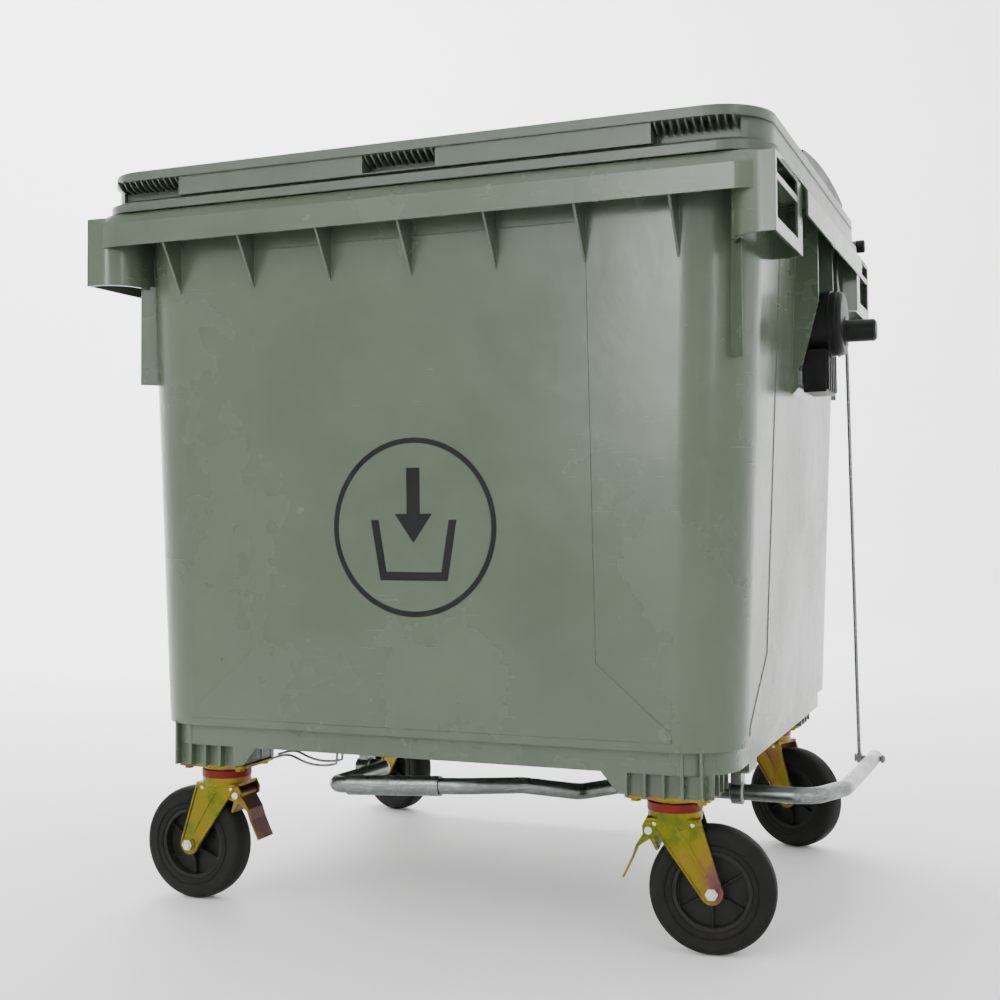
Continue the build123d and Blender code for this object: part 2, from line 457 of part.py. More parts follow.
def make_lid_fittings():
    """Lifting bar on the lid's right edge, and the rail under the lid that the rod's roller pushes."""
    with BuildPart() as bar:
        with BuildSketch(cross_plane(LIFT_BAR_INNER_X)):
            with BuildLine():
                outer = ThreePointArc((LIFT_BAR_FRONT_Y, LID_EDGE_Z + 8), (-60, LID_CROWN_Z + 5),
                                      (LIFT_BAR_BACK_Y, LID_EDGE_Z + 10))
                Polyline(outer @ 1, (LIFT_BAR_BACK_Y, LID_EDGE_Z - 2), (LIFT_BAR_FRONT_Y, LID_EDGE_Z - 2),
                         outer @ 0)
            make_face()
        extrude(amount=LIFT_BAR_OUTER_X - LIFT_BAR_INNER_X)
        with BuildSketch(Plane.XY.offset(LID_EDGE_Z - LID_WALL)):
            with Locations(*[(LIFT_BOLT_X, y) for y in LIFT_BOLT_Y]):
                Circle(LIFT_BOLT_R)
        extrude(amount=40, mode=Mode.SUBTRACT)
        trim_bar_to_lid()
    export(bar.part, "lid_lift_bar")
    with BuildPart() as rail:
        with BuildSketch(Plane.XY.offset(RAIL_LOW_Z)):
            with Locations((LIFT_BOLT_X + 2, RAIL_Y)):
                Rectangle(RAIL_WIDTH, RAIL_LENGTH)
        extrude(amount=RAIL_WALL)
        with BuildSketch(Plane.XY.offset(RAIL_LOW_Z - 8)):
            with Locations((LIFT_BOLT_X + 1.5 - RAIL_WIDTH / 2, RAIL_Y)):
                Rectangle(3, RAIL_LENGTH)
        extrude(amount=8 + RAIL_WALL)
        with BuildSketch(Plane.XY.offset(RAIL_LOW_Z - 10)):
            with Locations(*[(LIFT_BOLT_X, y) for y in LIFT_BOLT_Y]):
                Circle(LIFT_BOLT_R)
        extrude(amount=40, mode=Mode.SUBTRACT)
    export(rail.part, "lid_lift_rail")


def trim_bar_to_lid():
    """Trim the bar's underside to the slope of the lid's crown."""
    slope = (LID_CROWN_Z - LID_EDGE_Z) / (LID_CROWN_INSET - LID_LIP_INSET)
    edge_x = LID_HALF_X - LID_LIP_INSET
    inner_x = LIFT_BAR_INNER_X - 5
    contact_z = LID_EDGE_Z + 0.3
    with BuildSketch(front_plane(LIFT_BAR_FRONT_Y - 10)) as wedge:
        Polygon((edge_x + 5, contact_z - 10), (edge_x + 5, contact_z - 5 * slope),
                (inner_x, contact_z + (edge_x - inner_x) * slope), (inner_x, contact_z - 10), align=None)
    extrude(wedge.sketch, amount=-500, mode=Mode.SUBTRACT)


def make_trunnions():
    """Lifting trunnions, their steel backing plates and the bolts that hold them."""
    bolt_spots = [(-TRUNNION_BOLT_Y, TRUNNION_BOLT_Z), (TRUNNION_BOLT_Y, TRUNNION_BOLT_Z)]
    flange_x = BACKING_X + BACKING_WALL
    for name, side in (("left", -1), ("right", 1)):
        with BuildPart() as backing:
            with BuildSketch(cross_plane(side * BACKING_X)):
                with Locations((0, (BACKING_LOW_Z + BACKING_TOP_Z) / 2)):
                    Rectangle(BACKING_Y, BACKING_TOP_Z - BACKING_LOW_Z)
                with Locations(*bolt_spots):
                    Circle(TRUNNION_BOLT_R, mode=Mode.SUBTRACT)
            extrude(amount=side * BACKING_WALL)
        export(backing.part, f"trunnion_plate_{name}")
        with BuildPart() as trunnion:
            with BuildSketch(cross_plane(side * flange_x)):
                with Locations((0, DRUM_Z)):
                    Circle(DRUM_R + 5)
                with Locations((0, TRUNNION_BOLT_Z - 10)):
                    Rectangle(84, 60)
            extrude(amount=side * FLANGE_WALL)
            with BuildSketch(cross_plane(side * flange_x)):
                with Locations((0, DRUM_Z)):
                    Circle(DRUM_R)
            extrude(amount=side * (DRUM_FACE_X - flange_x))
            fillet(trunnion.edges().filter_by(GeomType.CIRCLE).sort_by(Axis.X)[-1 if side > 0 else 0], 8)
            with BuildSketch(cross_plane(side * flange_x)):
                with Locations((0, SUPPORT_Z)):
                    Rectangle(SUPPORT_Y, SUPPORT_HEIGHT)
            extrude(amount=side * BLOCK_DEPTH)
            with BuildSketch(cross_plane(side * (flange_x + BLOCK_DEPTH))):
                with Locations(*[((i - 2) * SUPPORT_Y / 5, SUPPORT_Z) for i in range(5)]):
                    Rectangle(7, SUPPORT_HEIGHT - 8)
            extrude(amount=side * 4)
            with BuildSketch(cross_plane(side * (DRUM_FACE_X - 2))):
                with Locations((0, PIN_Z)):
                    Circle(PIN_R)
            extrude(amount=side * (PIN_TIP_X - DRUM_FACE_X + 2))
            chamfer(trunnion.edges().filter_by(GeomType.CIRCLE).sort_by(Axis.X)[-1 if side > 0 else 0], 4)
            with BuildSketch(cross_plane(side * flange_x)):
                with Locations(*bolt_spots):
                    Circle(TRUNNION_BOLT_R)
            extrude(amount=side * FLANGE_WALL, mode=Mode.SUBTRACT)
        export(trunnion.part, f"trunnion_{name}")
    with BuildPart() as bolts:
        for side in (-1, 1):
            for spot in bolt_spots:
                with BuildSketch(cross_plane(side * (BACKING_X - 10))):
                    with Locations(spot):
                        Circle(TRUNNION_BOLT_R)
                extrude(amount=side * (10 + BACKING_WALL + FLANGE_WALL))
                with BuildSketch(cross_plane(side * (flange_x + FLANGE_WALL))):
                    with Locations(spot):
                        RegularPolygon(7.5, 6)
                extrude(amount=side * 5.5)
    export(bolts.part, "trunnion_bolts")


def tube_path():
    """Centre line of the pedal tube: left pivot stub, front bar, right pivot run, right arm."""
    route = [(BRACKET_X[0] - 18, PIVOT_Y, PIVOT_Z), (BAR_LEFT_X, PIVOT_Y, PIVOT_Z),
             (BAR_LEFT_X, BAR_Y, BAR_LEFT_Z), (BAR_RIGHT_X, BAR_Y + 4, BAR_RIGHT_Z),
             (148, BAR_Y + 74, 236), (232, PIVOT_Y - 92, PIVOT_Z), (292, PIVOT_Y, PIVOT_Z),
             (604, PIVOT_Y, PIVOT_Z), (ARM_X, -120, 219), (ARM_X, ARM_END_Y + 24, ARM_END_Z - 1)]
    bends = [20, 34, 40, 50, 50, 50, 45, 60]
    return route, bends


def make_pedal():
    """Bent tube pedal, its grip sleeve, brackets, bushes, bolts and the pin that carries the rod."""
    route, bends = tube_path()
    with BuildPart() as pedal:
        with BuildLine() as path:
            FilletPolyline(*route, radius=bends)
        with BuildSketch(Plane(origin=path.wire() @ 0, z_dir=path.wire() % 0)):
            Circle(TUBE_R)
            Circle(TUBE_R - TUBE_WALL, mode=Mode.SUBTRACT)
        sweep()
        for end, inwards in ((0, 3), (1, -3)):
            with BuildSketch(Plane(origin=path.wire() @ end, z_dir=path.wire() % end)):
                Circle(TUBE_R)
            extrude(amount=inwards)
        pin_bore = Plane(origin=(ARM_X - 30, ARM_END_Y, ARM_END_Z), x_dir=(0, 1, 0), z_dir=(1, 0, 0))
        with BuildSketch(pin_bore):
            Circle(5)
        extrude(amount=60, mode=Mode.SUBTRACT)
    export(pedal.part, "pedal_tube")
    along = Vector(BAR_RIGHT_X - BAR_LEFT_X, 4, BAR_RIGHT_Z - BAR_LEFT_Z).normalized()
    start = Vector(BAR_LEFT_X, BAR_Y, BAR_LEFT_Z) + along * 36
    with BuildPart() as sleeve:
        with BuildSketch(Plane(origin=start, z_dir=along)):
            Circle(BAR_R)
            Circle(TUBE_R, mode=Mode.SUBTRACT)
        extrude(amount=170)
    export(sleeve.part, "pedal_sleeve")
    with BuildPart() as brackets:
        for x in BRACKET_X:
            with BuildSketch(Plane.XY.offset(258)):
                with Locations((x, PIVOT_Y)):
                    Rectangle(50, 60)
            extrude(amount=4)
            with BuildSketch(cross_plane(x)):
                with Locations((PIVOT_Y, PIVOT_Z)):
                    Circle(BUSH_OUT_R + 4)
                with Locations((PIVOT_Y, (PIVOT_Z + 260) / 2)):
                    Rectangle(30, 260 - PIVOT_Z)
                with Locations((PIVOT_Y, PIVOT_Z)):
                    Circle(BUSH_OUT_R, mode=Mode.SUBTRACT)
            extrude(amount=9, both=True)
            with BuildSketch(Plane.XY.offset(250)):
                with Locations((x - 15, PIVOT_Y + 22), (x + 15, PIVOT_Y + 22)):
                    Circle(3)
            extrude(amount=14, mode=Mode.SUBTRACT)
    export(brackets.part, "pedal_brackets")
    with BuildPart() as bushes:
        for x in BRACKET_X:
            with BuildSketch(cross_plane(x)):
                with Locations((PIVOT_Y, PIVOT_Z)):
                    Circle(BUSH_OUT_R)
                    Circle(TUBE_R + RUNNING_GAP, mode=Mode.SUBTRACT)
            extrude(amount=11, both=True)
    export(bushes.part, "pedal_bushes")
    with BuildPart() as bolts:
        for x in BRACKET_X:
            for dx in (-15, 15):
                with BuildSketch(Plane.XY.offset(258)):
                    with Locations((x + dx, PIVOT_Y + 22)):
                        Circle(3)
                extrude(amount=24)
                with BuildSketch(Plane.XY.offset(254)):
                    with Locations((x + dx, PIVOT_Y + 22)):
                        RegularPolygon(5.5, 6)
                extrude(amount=4)
    export(bolts.part, "pedal_bracket_bolts")
    with BuildPart() as pin:
        with BuildSketch(cross_plane(ROD_X - 8)):
            with Locations((ARM_END_Y, ARM_END_Z)):
                Circle(5)
        extrude(amount=ARM_X + 22 - ROD_X + 8)
        with BuildSketch(cross_plane(ARM_X + 14)):
            with Locations((ARM_END_Y, ARM_END_Z)):
                RegularPolygon(8.5, 6)
        extrude(amount=6)
        with BuildSketch(cross_plane(ROD_X - 8.5)):
            with Locations((ARM_END_Y, ARM_END_Z)):
                Circle(8)
        extrude(amount=2.5)
    export(pin.part, "pedal_rod_pin")


def make_rod():
    """Lifting rod with an eye at the bottom, a cranked top and the nylon roller that pushes the lid."""
    with BuildPart() as rod:
        with BuildLine() as path:
            FilletPolyline((ROD_X, ARM_END_Y, ARM_END_Z + 8), (ROD_CRANK_X, ARM_END_Y, ROD_CRANK_Z),
                           (ROD_TOP_X, ARM_END_Y, ROD_CRANK_Z + 150), (ROD_TOP_X, ARM_END_Y, ROLLER_Z),
                           (ROD_TOP_X - 20, ARM_END_Y, ROLLER_Z), radius=[120, 120, 7])
        with BuildSketch(Plane(origin=path.wire() @ 0, z_dir=path.wire() % 0)):
            Circle(ROD_R)
        sweep()
        with BuildSketch(cross_plane(ROD_X)):
            with Locations((ARM_END_Y, ARM_END_Z)):
                Circle(10)
        extrude(amount=4, both=True)
        with BuildSketch(cross_plane(ROD_X)):
            with Locations((ARM_END_Y, ARM_END_Z)):
                Circle(5 + RUNNING_GAP)
        extrude(amount=6, both=True, mode=Mode.SUBTRACT)
    export(rod.part, "lift_rod")
    with BuildPart() as roller:
        with BuildSketch(cross_plane(ROD_TOP_X - 19)):
            with Locations((ARM_END_Y, ROLLER_Z)):
                Circle(ROLLER_R)
                Circle(ROD_R, mode=Mode.SUBTRACT)
        extrude(amount=11)
    export(roller.part, "rod_roller")


def caster_plane(name):
    """Frame of one caster: origin on the floor under its kingpin, x along its trail."""
    sx, sy = CASTER_SIGN[name]
    yaw = radians(CASTER_YAW[name])
    return Plane(origin=(sx * CASTER_X, sy * CASTER_Y, 0), x_dir=(cos(yaw), sin(yaw), 0), z_dir=(0, 0, 1))


def side_plane(base, y):
    """Upright plane of a caster at its own y, sketched as (along trail, height)."""
    return Plane(origin=base.from_local_coords((0, y, 0)), x_dir=base.x_dir, z_dir=-base.y_dir)


def make_caster_plate(name):
    """Top plate with the fixed half of the ball race."""
    sx, sy = CASTER_SIGN[name]
    with BuildPart() as plate:
        with BuildSketch(Plane.XY.offset(PLATE_LOW_Z)):
            with Locations((sx * CASTER_X, sy * CASTER_Y)):
                RectangleRounded(PLATE_X, PLATE_Y, 12)
                with GridLocations(2 * PLATE_BOLT_X, 2 * PLATE_BOLT_Y, 2, 2):
                    Circle(PLATE_BOLT_R, mode=Mode.SUBTRACT)
        extrude(amount=PLATE_TOP_Z - PLATE_LOW_Z)
        with BuildSketch(Plane.XY.offset(PLATE_LOW_Z - RACE_DEPTH)):
            with Locations((sx * CASTER_X, sy * CASTER_Y)):
                Circle(RACE_R)
        extrude(amount=RACE_DEPTH)
        with BuildSketch(Plane.XY.offset(PLATE_LOW_Z - RACE_DEPTH)):
            with Locations((sx * CASTER_X, sy * CASTER_Y)):
                Circle(KINGPIN_R)
        extrude(amount=20, mode=Mode.SUBTRACT)
    export(plate.part, f"caster_{name}_plate")


def make_caster_fork(name, braked):
    """Swivelling fork, its seal ring and the axle bolt through both legs."""
    base = caster_plane(name)
    with BuildPart() as fork:
        with BuildSketch(base.offset(CROWN_LOW_Z)):
            Circle(CROWN_R)
            Rectangle(2 * CROWN_R - 2, LEG_GAP + 2 * LEG_WALL)
        extrude(amount=CROWN_WALL)
        with BuildSketch(base.offset(CROWN_LOW_Z + CROWN_WALL)):
            Circle(CROWN_R)
            Circle(CROWN_R - 9, mode=Mode.SUBTRACT)
        extrude(amount=CROWN_TOP_Z - CROWN_LOW_Z - CROWN_WALL)
        for side in (-1, 1):
            with BuildSketch(side_plane(base, side * (LEG_GAP / 2 + LEG_WALL / 2))) as leg:
                with Locations((TRAIL, WHEEL_R)):
                    Circle(18)
                with Locations((0, CROWN_LOW_Z + CROWN_WALL - 1)):
                    Rectangle(2 * CROWN_R - 2, 2)
                make_hull(leg.edges())
                if braked:
                    Polygon((-42, 213), (-49, 200), (-48, 188), (-36, 182), (-22, 186), (-20, 213),
                            align=None)
                with Locations((TRAIL, WHEEL_R)):
                    Circle(AXLE_R, mode=Mode.SUBTRACT)
                if braked:
                    with Locations(BRAKE_PIVOT):
                        Circle(BRAKE_PIN_R, mode=Mode.SUBTRACT)
            extrude(amount=LEG_WALL / 2, both=True)
        with BuildSketch(base.offset(CROWN_LOW_Z - 8)):
            Circle(KINGPIN_R + RUNNING_GAP)
        extrude(amount=30, mode=Mode.SUBTRACT)
    export(fork.part, f"caster_{name}_fork")
    with BuildPart() as seal:
        with BuildSketch(base.offset(CROWN_TOP_Z)):
            Circle(SEAL_OUT_R)
            Circle(SEAL_IN_R, mode=Mode.SUBTRACT)
        extrude(amount=SEAL_HEIGHT)
        fillet(seal.edges().filter_by(GeomType.CIRCLE).sort_by(SortBy.RADIUS)[-2:], 1.5)
    export(seal.part, f"caster_{name}_seal")
    reach = LEG_GAP / 2 + LEG_WALL
    with BuildPart() as axle:
        with BuildSketch(side_plane(base, reach + 9)):
            with Locations((TRAIL, WHEEL_R)):
                Circle(AXLE_R)
        extrude(amount=2 * reach + 18)
        for y in (reach + 7, -reach):
            with BuildSketch(side_plane(base, y)):
                with Locations((TRAIL, WHEEL_R)):
                    RegularPolygon(10, 6)
            extrude(amount=7)
    export(axle.part, f"caster_{name}_axle")


def make_caster_wheel(name):
    """Rubber tyre on a spoked plastic hub that runs on a steel bush."""
    base = caster_plane(name)
    middle = side_plane(base, 0)
    with BuildPart() as tyre:
        with BuildSketch(middle):
            with Locations((TRAIL, WHEEL_R)):
                Circle(WHEEL_R)
        extrude(amount=WHEEL_WIDTH / 2, both=True)
        fillet(tyre.edges().filter_by(GeomType.CIRCLE), 11)
        with BuildSketch(middle):
            with Locations((TRAIL, WHEEL_R)):
                Circle(HUB_R)
        extrude(amount=WHEEL_WIDTH, both=True, mode=Mode.SUBTRACT)
    export(tyre.part, f"caster_{name}_tyre")
    with BuildPart() as hub:
        with BuildSketch(middle):
            with Locations((TRAIL, WHEEL_R)):
                Circle(HUB_R)
                Circle(HUB_R - 6, mode=Mode.SUBTRACT)
        extrude(amount=22, both=True)
        with BuildSketch(middle):
            with Locations((TRAIL, WHEEL_R)):
                Circle(HUB_R - 5)
        extrude(amount=5, both=True)
        with BuildSketch(middle):
            with Locations((TRAIL, WHEEL_R)):
                Circle(BUSH_R + 8)
        extrude(amount=WHEEL_WIDTH / 2 + 1, both=True)
        with BuildSketch(middle):
            with Locations((TRAIL, WHEEL_R)):
                Circle(BUSH_R)
        extrude(amount=WHEEL_WIDTH, both=True, mode=Mode.SUBTRACT)
    export(hub.part, f"caster_{name}_hub")
    with BuildPart() as bush:
        with BuildSketch(middle):
            with Locations((TRAIL, WHEEL_R)):
                Circle(BUSH_R)
                Circle(AXLE_R + RUNNING_GAP, mode=Mode.SUBTRACT)
        extrude(amount=LEG_GAP / 2 - 1, both=True)
    export(bush.part, f"caster_{name}_bush")


def make_caster_brake(name):
    """Foot lever with its shoe plate, hung on a rivet pin between the fork's ears."""
    base = caster_plane(name)
    pivot_x, pivot_z = BRAKE_PIVOT
    with BuildPart() as pin:
        reach = LEG_GAP / 2 + LEG_WALL + 2.5
        with BuildSketch(side_plane(base, reach)):
            with Locations(BRAKE_PIVOT):
                Circle(BRAKE_PIN_R)
        extrude(amount=2 * reach)
        for y in (reach, 2.5 - reach):
            with BuildSketch(side_plane(base, y)):
                with Locations(BRAKE_PIVOT):
                    Circle(2 * BRAKE_PIN_R)
            extrude(amount=2.5)
    export(pin.part, f"caster_{name}_brake_pin")
    with BuildPart() as lever:
        with BuildSketch(side_plane(base, 0)):
            with BuildLine():
                start, end = (pivot_x - 6, pivot_z - 2), (pivot_x + 6, pivot_z + 2)
                Polyline(start, (-60, 168), (-66, 150), (-82, 117), (-79, 115.5), (-62.5, 149),
                         (-56.5, 165), (-38, 178), (-28, 160), (-24, 162), (-31, 184), end)
                ThreePointArc(end, (pivot_x - 2, pivot_z + 7), start)
            make_face()
            with Locations(BRAKE_PIVOT):
                Circle(7)
                Circle(BRAKE_PIN_R + RUNNING_GAP, mode=Mode.SUBTRACT)
        extrude(amount=LEVER_WIDTH / 2, both=True)
    export(lever.part, f"caster_{name}_brake_lever")


def make_casters():
    """Four swivel casters, the front two braked, and the bolts that hold their plates."""
    for name in CASTER_SIGN:
        braked = name.startswith("front")
        make_caster_plate(name)
        make_caster_fork(name, braked)
        make_caster_wheel(name)
        if braked:
            make_caster_brake(name)
    with BuildPart() as kingpins:
        with BuildSketch(Plane.XY.offset(KINGPIN_LOW_Z)):
            with GridLocations(2 * CASTER_X, 2 * CASTER_Y, 2, 2):
                Circle(KINGPIN_R)
        extrude(amount=PLATE_TOP_Z - KINGPIN_LOW_Z)
        with BuildSketch(Plane.XY.offset(KINGPIN_LOW_Z)):
            with GridLocations(2 * CASTER_X, 2 * CASTER_Y, 2, 2):
                RegularPolygon(NUT_R, 6)
        extrude(amount=NUT_HEIGHT)
    export(kingpins.part, "caster_kingpins")
    with BuildPart() as bolts:
        for sx, sy in CASTER_SIGN.values():
            for low, height, profile in ((PLATE_LOW_Z, 26, "shank"), (PLATE_LOW_Z - 5.5, 5.5, "head")):
                with BuildSketch(Plane.XY.offset(low)):
                    with Locations((sx * CASTER_X, sy * CASTER_Y)):
                        with GridLocations(2 * PLATE_BOLT_X, 2 * PLATE_BOLT_Y, 2, 2):
                            if profile == "shank":
                                Circle(PLATE_BOLT_R)
                            else:
                                RegularPolygon(8.5, 6)
                extrude(amount=height)
    export(bolts.part, "caster_bolts")


def make_small_parts():
    """Lift bolts, lid buffers, and the drain plug with its seal."""
    with BuildPart() as bolts:
        for y in LIFT_BOLT_Y:
            shank = (RAIL_LOW_Z, LID_EDGE_Z + 7, LIFT_BOLT_R)
            spacer = (RAIL_LOW_Z + RAIL_WALL, LID_EDGE_Z - LID_WALL, LIFT_BOLT_R + 3)
            for low, high, radius in (shank, spacer):
                with BuildSketch(Plane.XY.offset(low)):
                    with Locations((LIFT_BOLT_X, y)):
                        Circle(radius)
                extrude(amount=high - low)
    export(bolts.part, "lid_lift_bolts")
    with BuildPart() as buffers:
        with BuildSketch(Plane.XY.offset(RIM_TOP_Z)):
            with Locations(*[(sx * x, y) for sx in (-1, 1) for x, y in ((420, -519), (601, -120))]):
                Circle(7)
        extrude(amount=1.7)
    export(buffers.part, "lid_buffers")
    floor_low, floor_top = TUB_LOW_Z, TUB_LOW_Z + TUB_WALL
    with BuildPart() as plug:
        with BuildSketch(Plane.XY.offset(floor_low - 8)):
            with Locations((0, DRAIN_Y)):
                Circle(DRAIN_R - 0.5)
        extrude(amount=floor_top - floor_low + 14)
        with BuildSketch(Plane.XY.offset(floor_low - 14)):
            with Locations((0, DRAIN_Y)):
                Circle(DRAIN_R + 10)
        extrude(amount=9)
        with BuildSketch(Plane.XY.offset(floor_low - 26)):
            with Locations((0, DRAIN_Y)):
                Rectangle(50, 10)
        extrude(amount=14)
    export(plug.part, "drain_plug")
    with BuildPart() as seal:
        with BuildSketch(Plane.XY.offset(floor_low - 5)):
            with Locations((0, DRAIN_Y)):
                Circle(DRAIN_R + 8)
                Circle(DRAIN_R - 0.5, mode=Mode.SUBTRACT)
        extrude(amount=5)
    export(seal.part, "drain_seal")


if __name__ == "__main__":
    make_tub()
    make_lid()
    make_hinges()
    make_lid_fittings()
    make_trunnions()
    make_pedal()
    make_rod()
    make_casters()
    make_small_parts()
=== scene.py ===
"""Looks for a four-wheeled waste container: finishes, fitted detail, symbol, studio and camera.

Metres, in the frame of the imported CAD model: X to the container's right, Y to its back, Z up.
"""

import json
import logging
import math
from collections.abc import Callable, Sequence
from dataclasses import dataclass, field
from enum import Enum

import bmesh
import bpy
from mathutils import Matrix, Vector


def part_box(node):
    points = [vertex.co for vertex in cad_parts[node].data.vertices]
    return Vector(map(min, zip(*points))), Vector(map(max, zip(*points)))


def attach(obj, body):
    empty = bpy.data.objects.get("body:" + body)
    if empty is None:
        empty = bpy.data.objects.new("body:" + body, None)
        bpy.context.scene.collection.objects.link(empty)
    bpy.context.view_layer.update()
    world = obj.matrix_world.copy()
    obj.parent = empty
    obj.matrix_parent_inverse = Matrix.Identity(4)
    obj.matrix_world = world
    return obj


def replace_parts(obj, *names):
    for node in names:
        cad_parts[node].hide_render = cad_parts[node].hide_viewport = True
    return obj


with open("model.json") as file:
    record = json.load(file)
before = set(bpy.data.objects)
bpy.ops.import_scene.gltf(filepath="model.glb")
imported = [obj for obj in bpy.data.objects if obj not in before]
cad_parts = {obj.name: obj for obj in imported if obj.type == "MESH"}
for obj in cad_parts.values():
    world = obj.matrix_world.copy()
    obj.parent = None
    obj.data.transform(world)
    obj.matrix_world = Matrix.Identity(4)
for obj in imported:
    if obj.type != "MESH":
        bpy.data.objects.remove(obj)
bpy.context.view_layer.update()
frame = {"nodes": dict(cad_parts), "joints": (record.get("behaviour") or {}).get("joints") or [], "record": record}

log = logging.getLogger("container")
MM = 0.001


class Effect(Enum):
    """Shared surface effects, one shader node group each."""

    MOTTLE = "Mottle"
    GRAIN = "Grain"
    EDGE = "Edge"
    DUST = "Dust"
    SCUFF = "Scuff"


# What a node input takes: a link from another node, or a plain value
Value = bpy.types.NodeSocket | float | tuple


@dataclass
class Graph:
    """Adds and links nodes in one node tree.

    Args:
        tree: The shader tree or node group being filled.
    """

    tree: bpy.types.NodeTree

    def node(self, kind: str, inputs: dict | None = None, **props) -> bpy.types.Node:
        """Add a node.

        Args:
            kind: Node type name.
            inputs: Socket name or index, with a value or an output socket to link.
            props: Node properties to set.

        Returns:
            The new node.
        """
        made = self.tree.nodes.new(kind)
        for key, value in props.items():
            setattr(made, key, value)
        for key, value in (inputs or {}).items():
            if isinstance(value, bpy.types.NodeSocket):
                self.tree.links.new(value, made.inputs[key])
            else:
                made.inputs[key].default_value = value
        return made

    def math(self, operation: str, *values: Value, clamp: bool = False) -> bpy.types.NodeSocket:
        """Add a math node and return its output."""
        inputs = dict(enumerate(values))
        return self.node("ShaderNodeMath", inputs, operation=operation, use_clamp=clamp).outputs[0]

    def mix(
        self, factor: Value, first: Value, second: Value, blend: str = "MIX"
    ) -> bpy.types.NodeSocket:
        """Mix two colours and return the result."""
        inputs = {0: factor, 6: first, 7: second}
        return self.node("ShaderNodeMix", inputs, data_type="RGBA", blend_type=blend).outputs[2]

    def span(
        self, value: Value, low: float, high: float, out_low: float, out_high: float
    ) -> bpy.types.NodeSocket:
        """Map a value from one range to another, clamped."""
        inputs = {0: value, 1: low, 2: high, 3: out_low, 4: out_high}
        return self.node("ShaderNodeMapRange", inputs).outputs[0]

    def ramp(self, value: Value, stops: Sequence[tuple[float, tuple]]) -> bpy.types.NodeSocket:
        """Colour ramp through the given (position, colour) stops."""
        made = self.node("ShaderNodeValToRGB", {0: value})
        for i, (position, colour) in enumerate(stops):
            stop = made.color_ramp.elements[i] if i < 2 else made.color_ramp.elements.new(position)
            stop.position = position
            stop.color = (*colour, 1.0)
        return made.outputs[0]


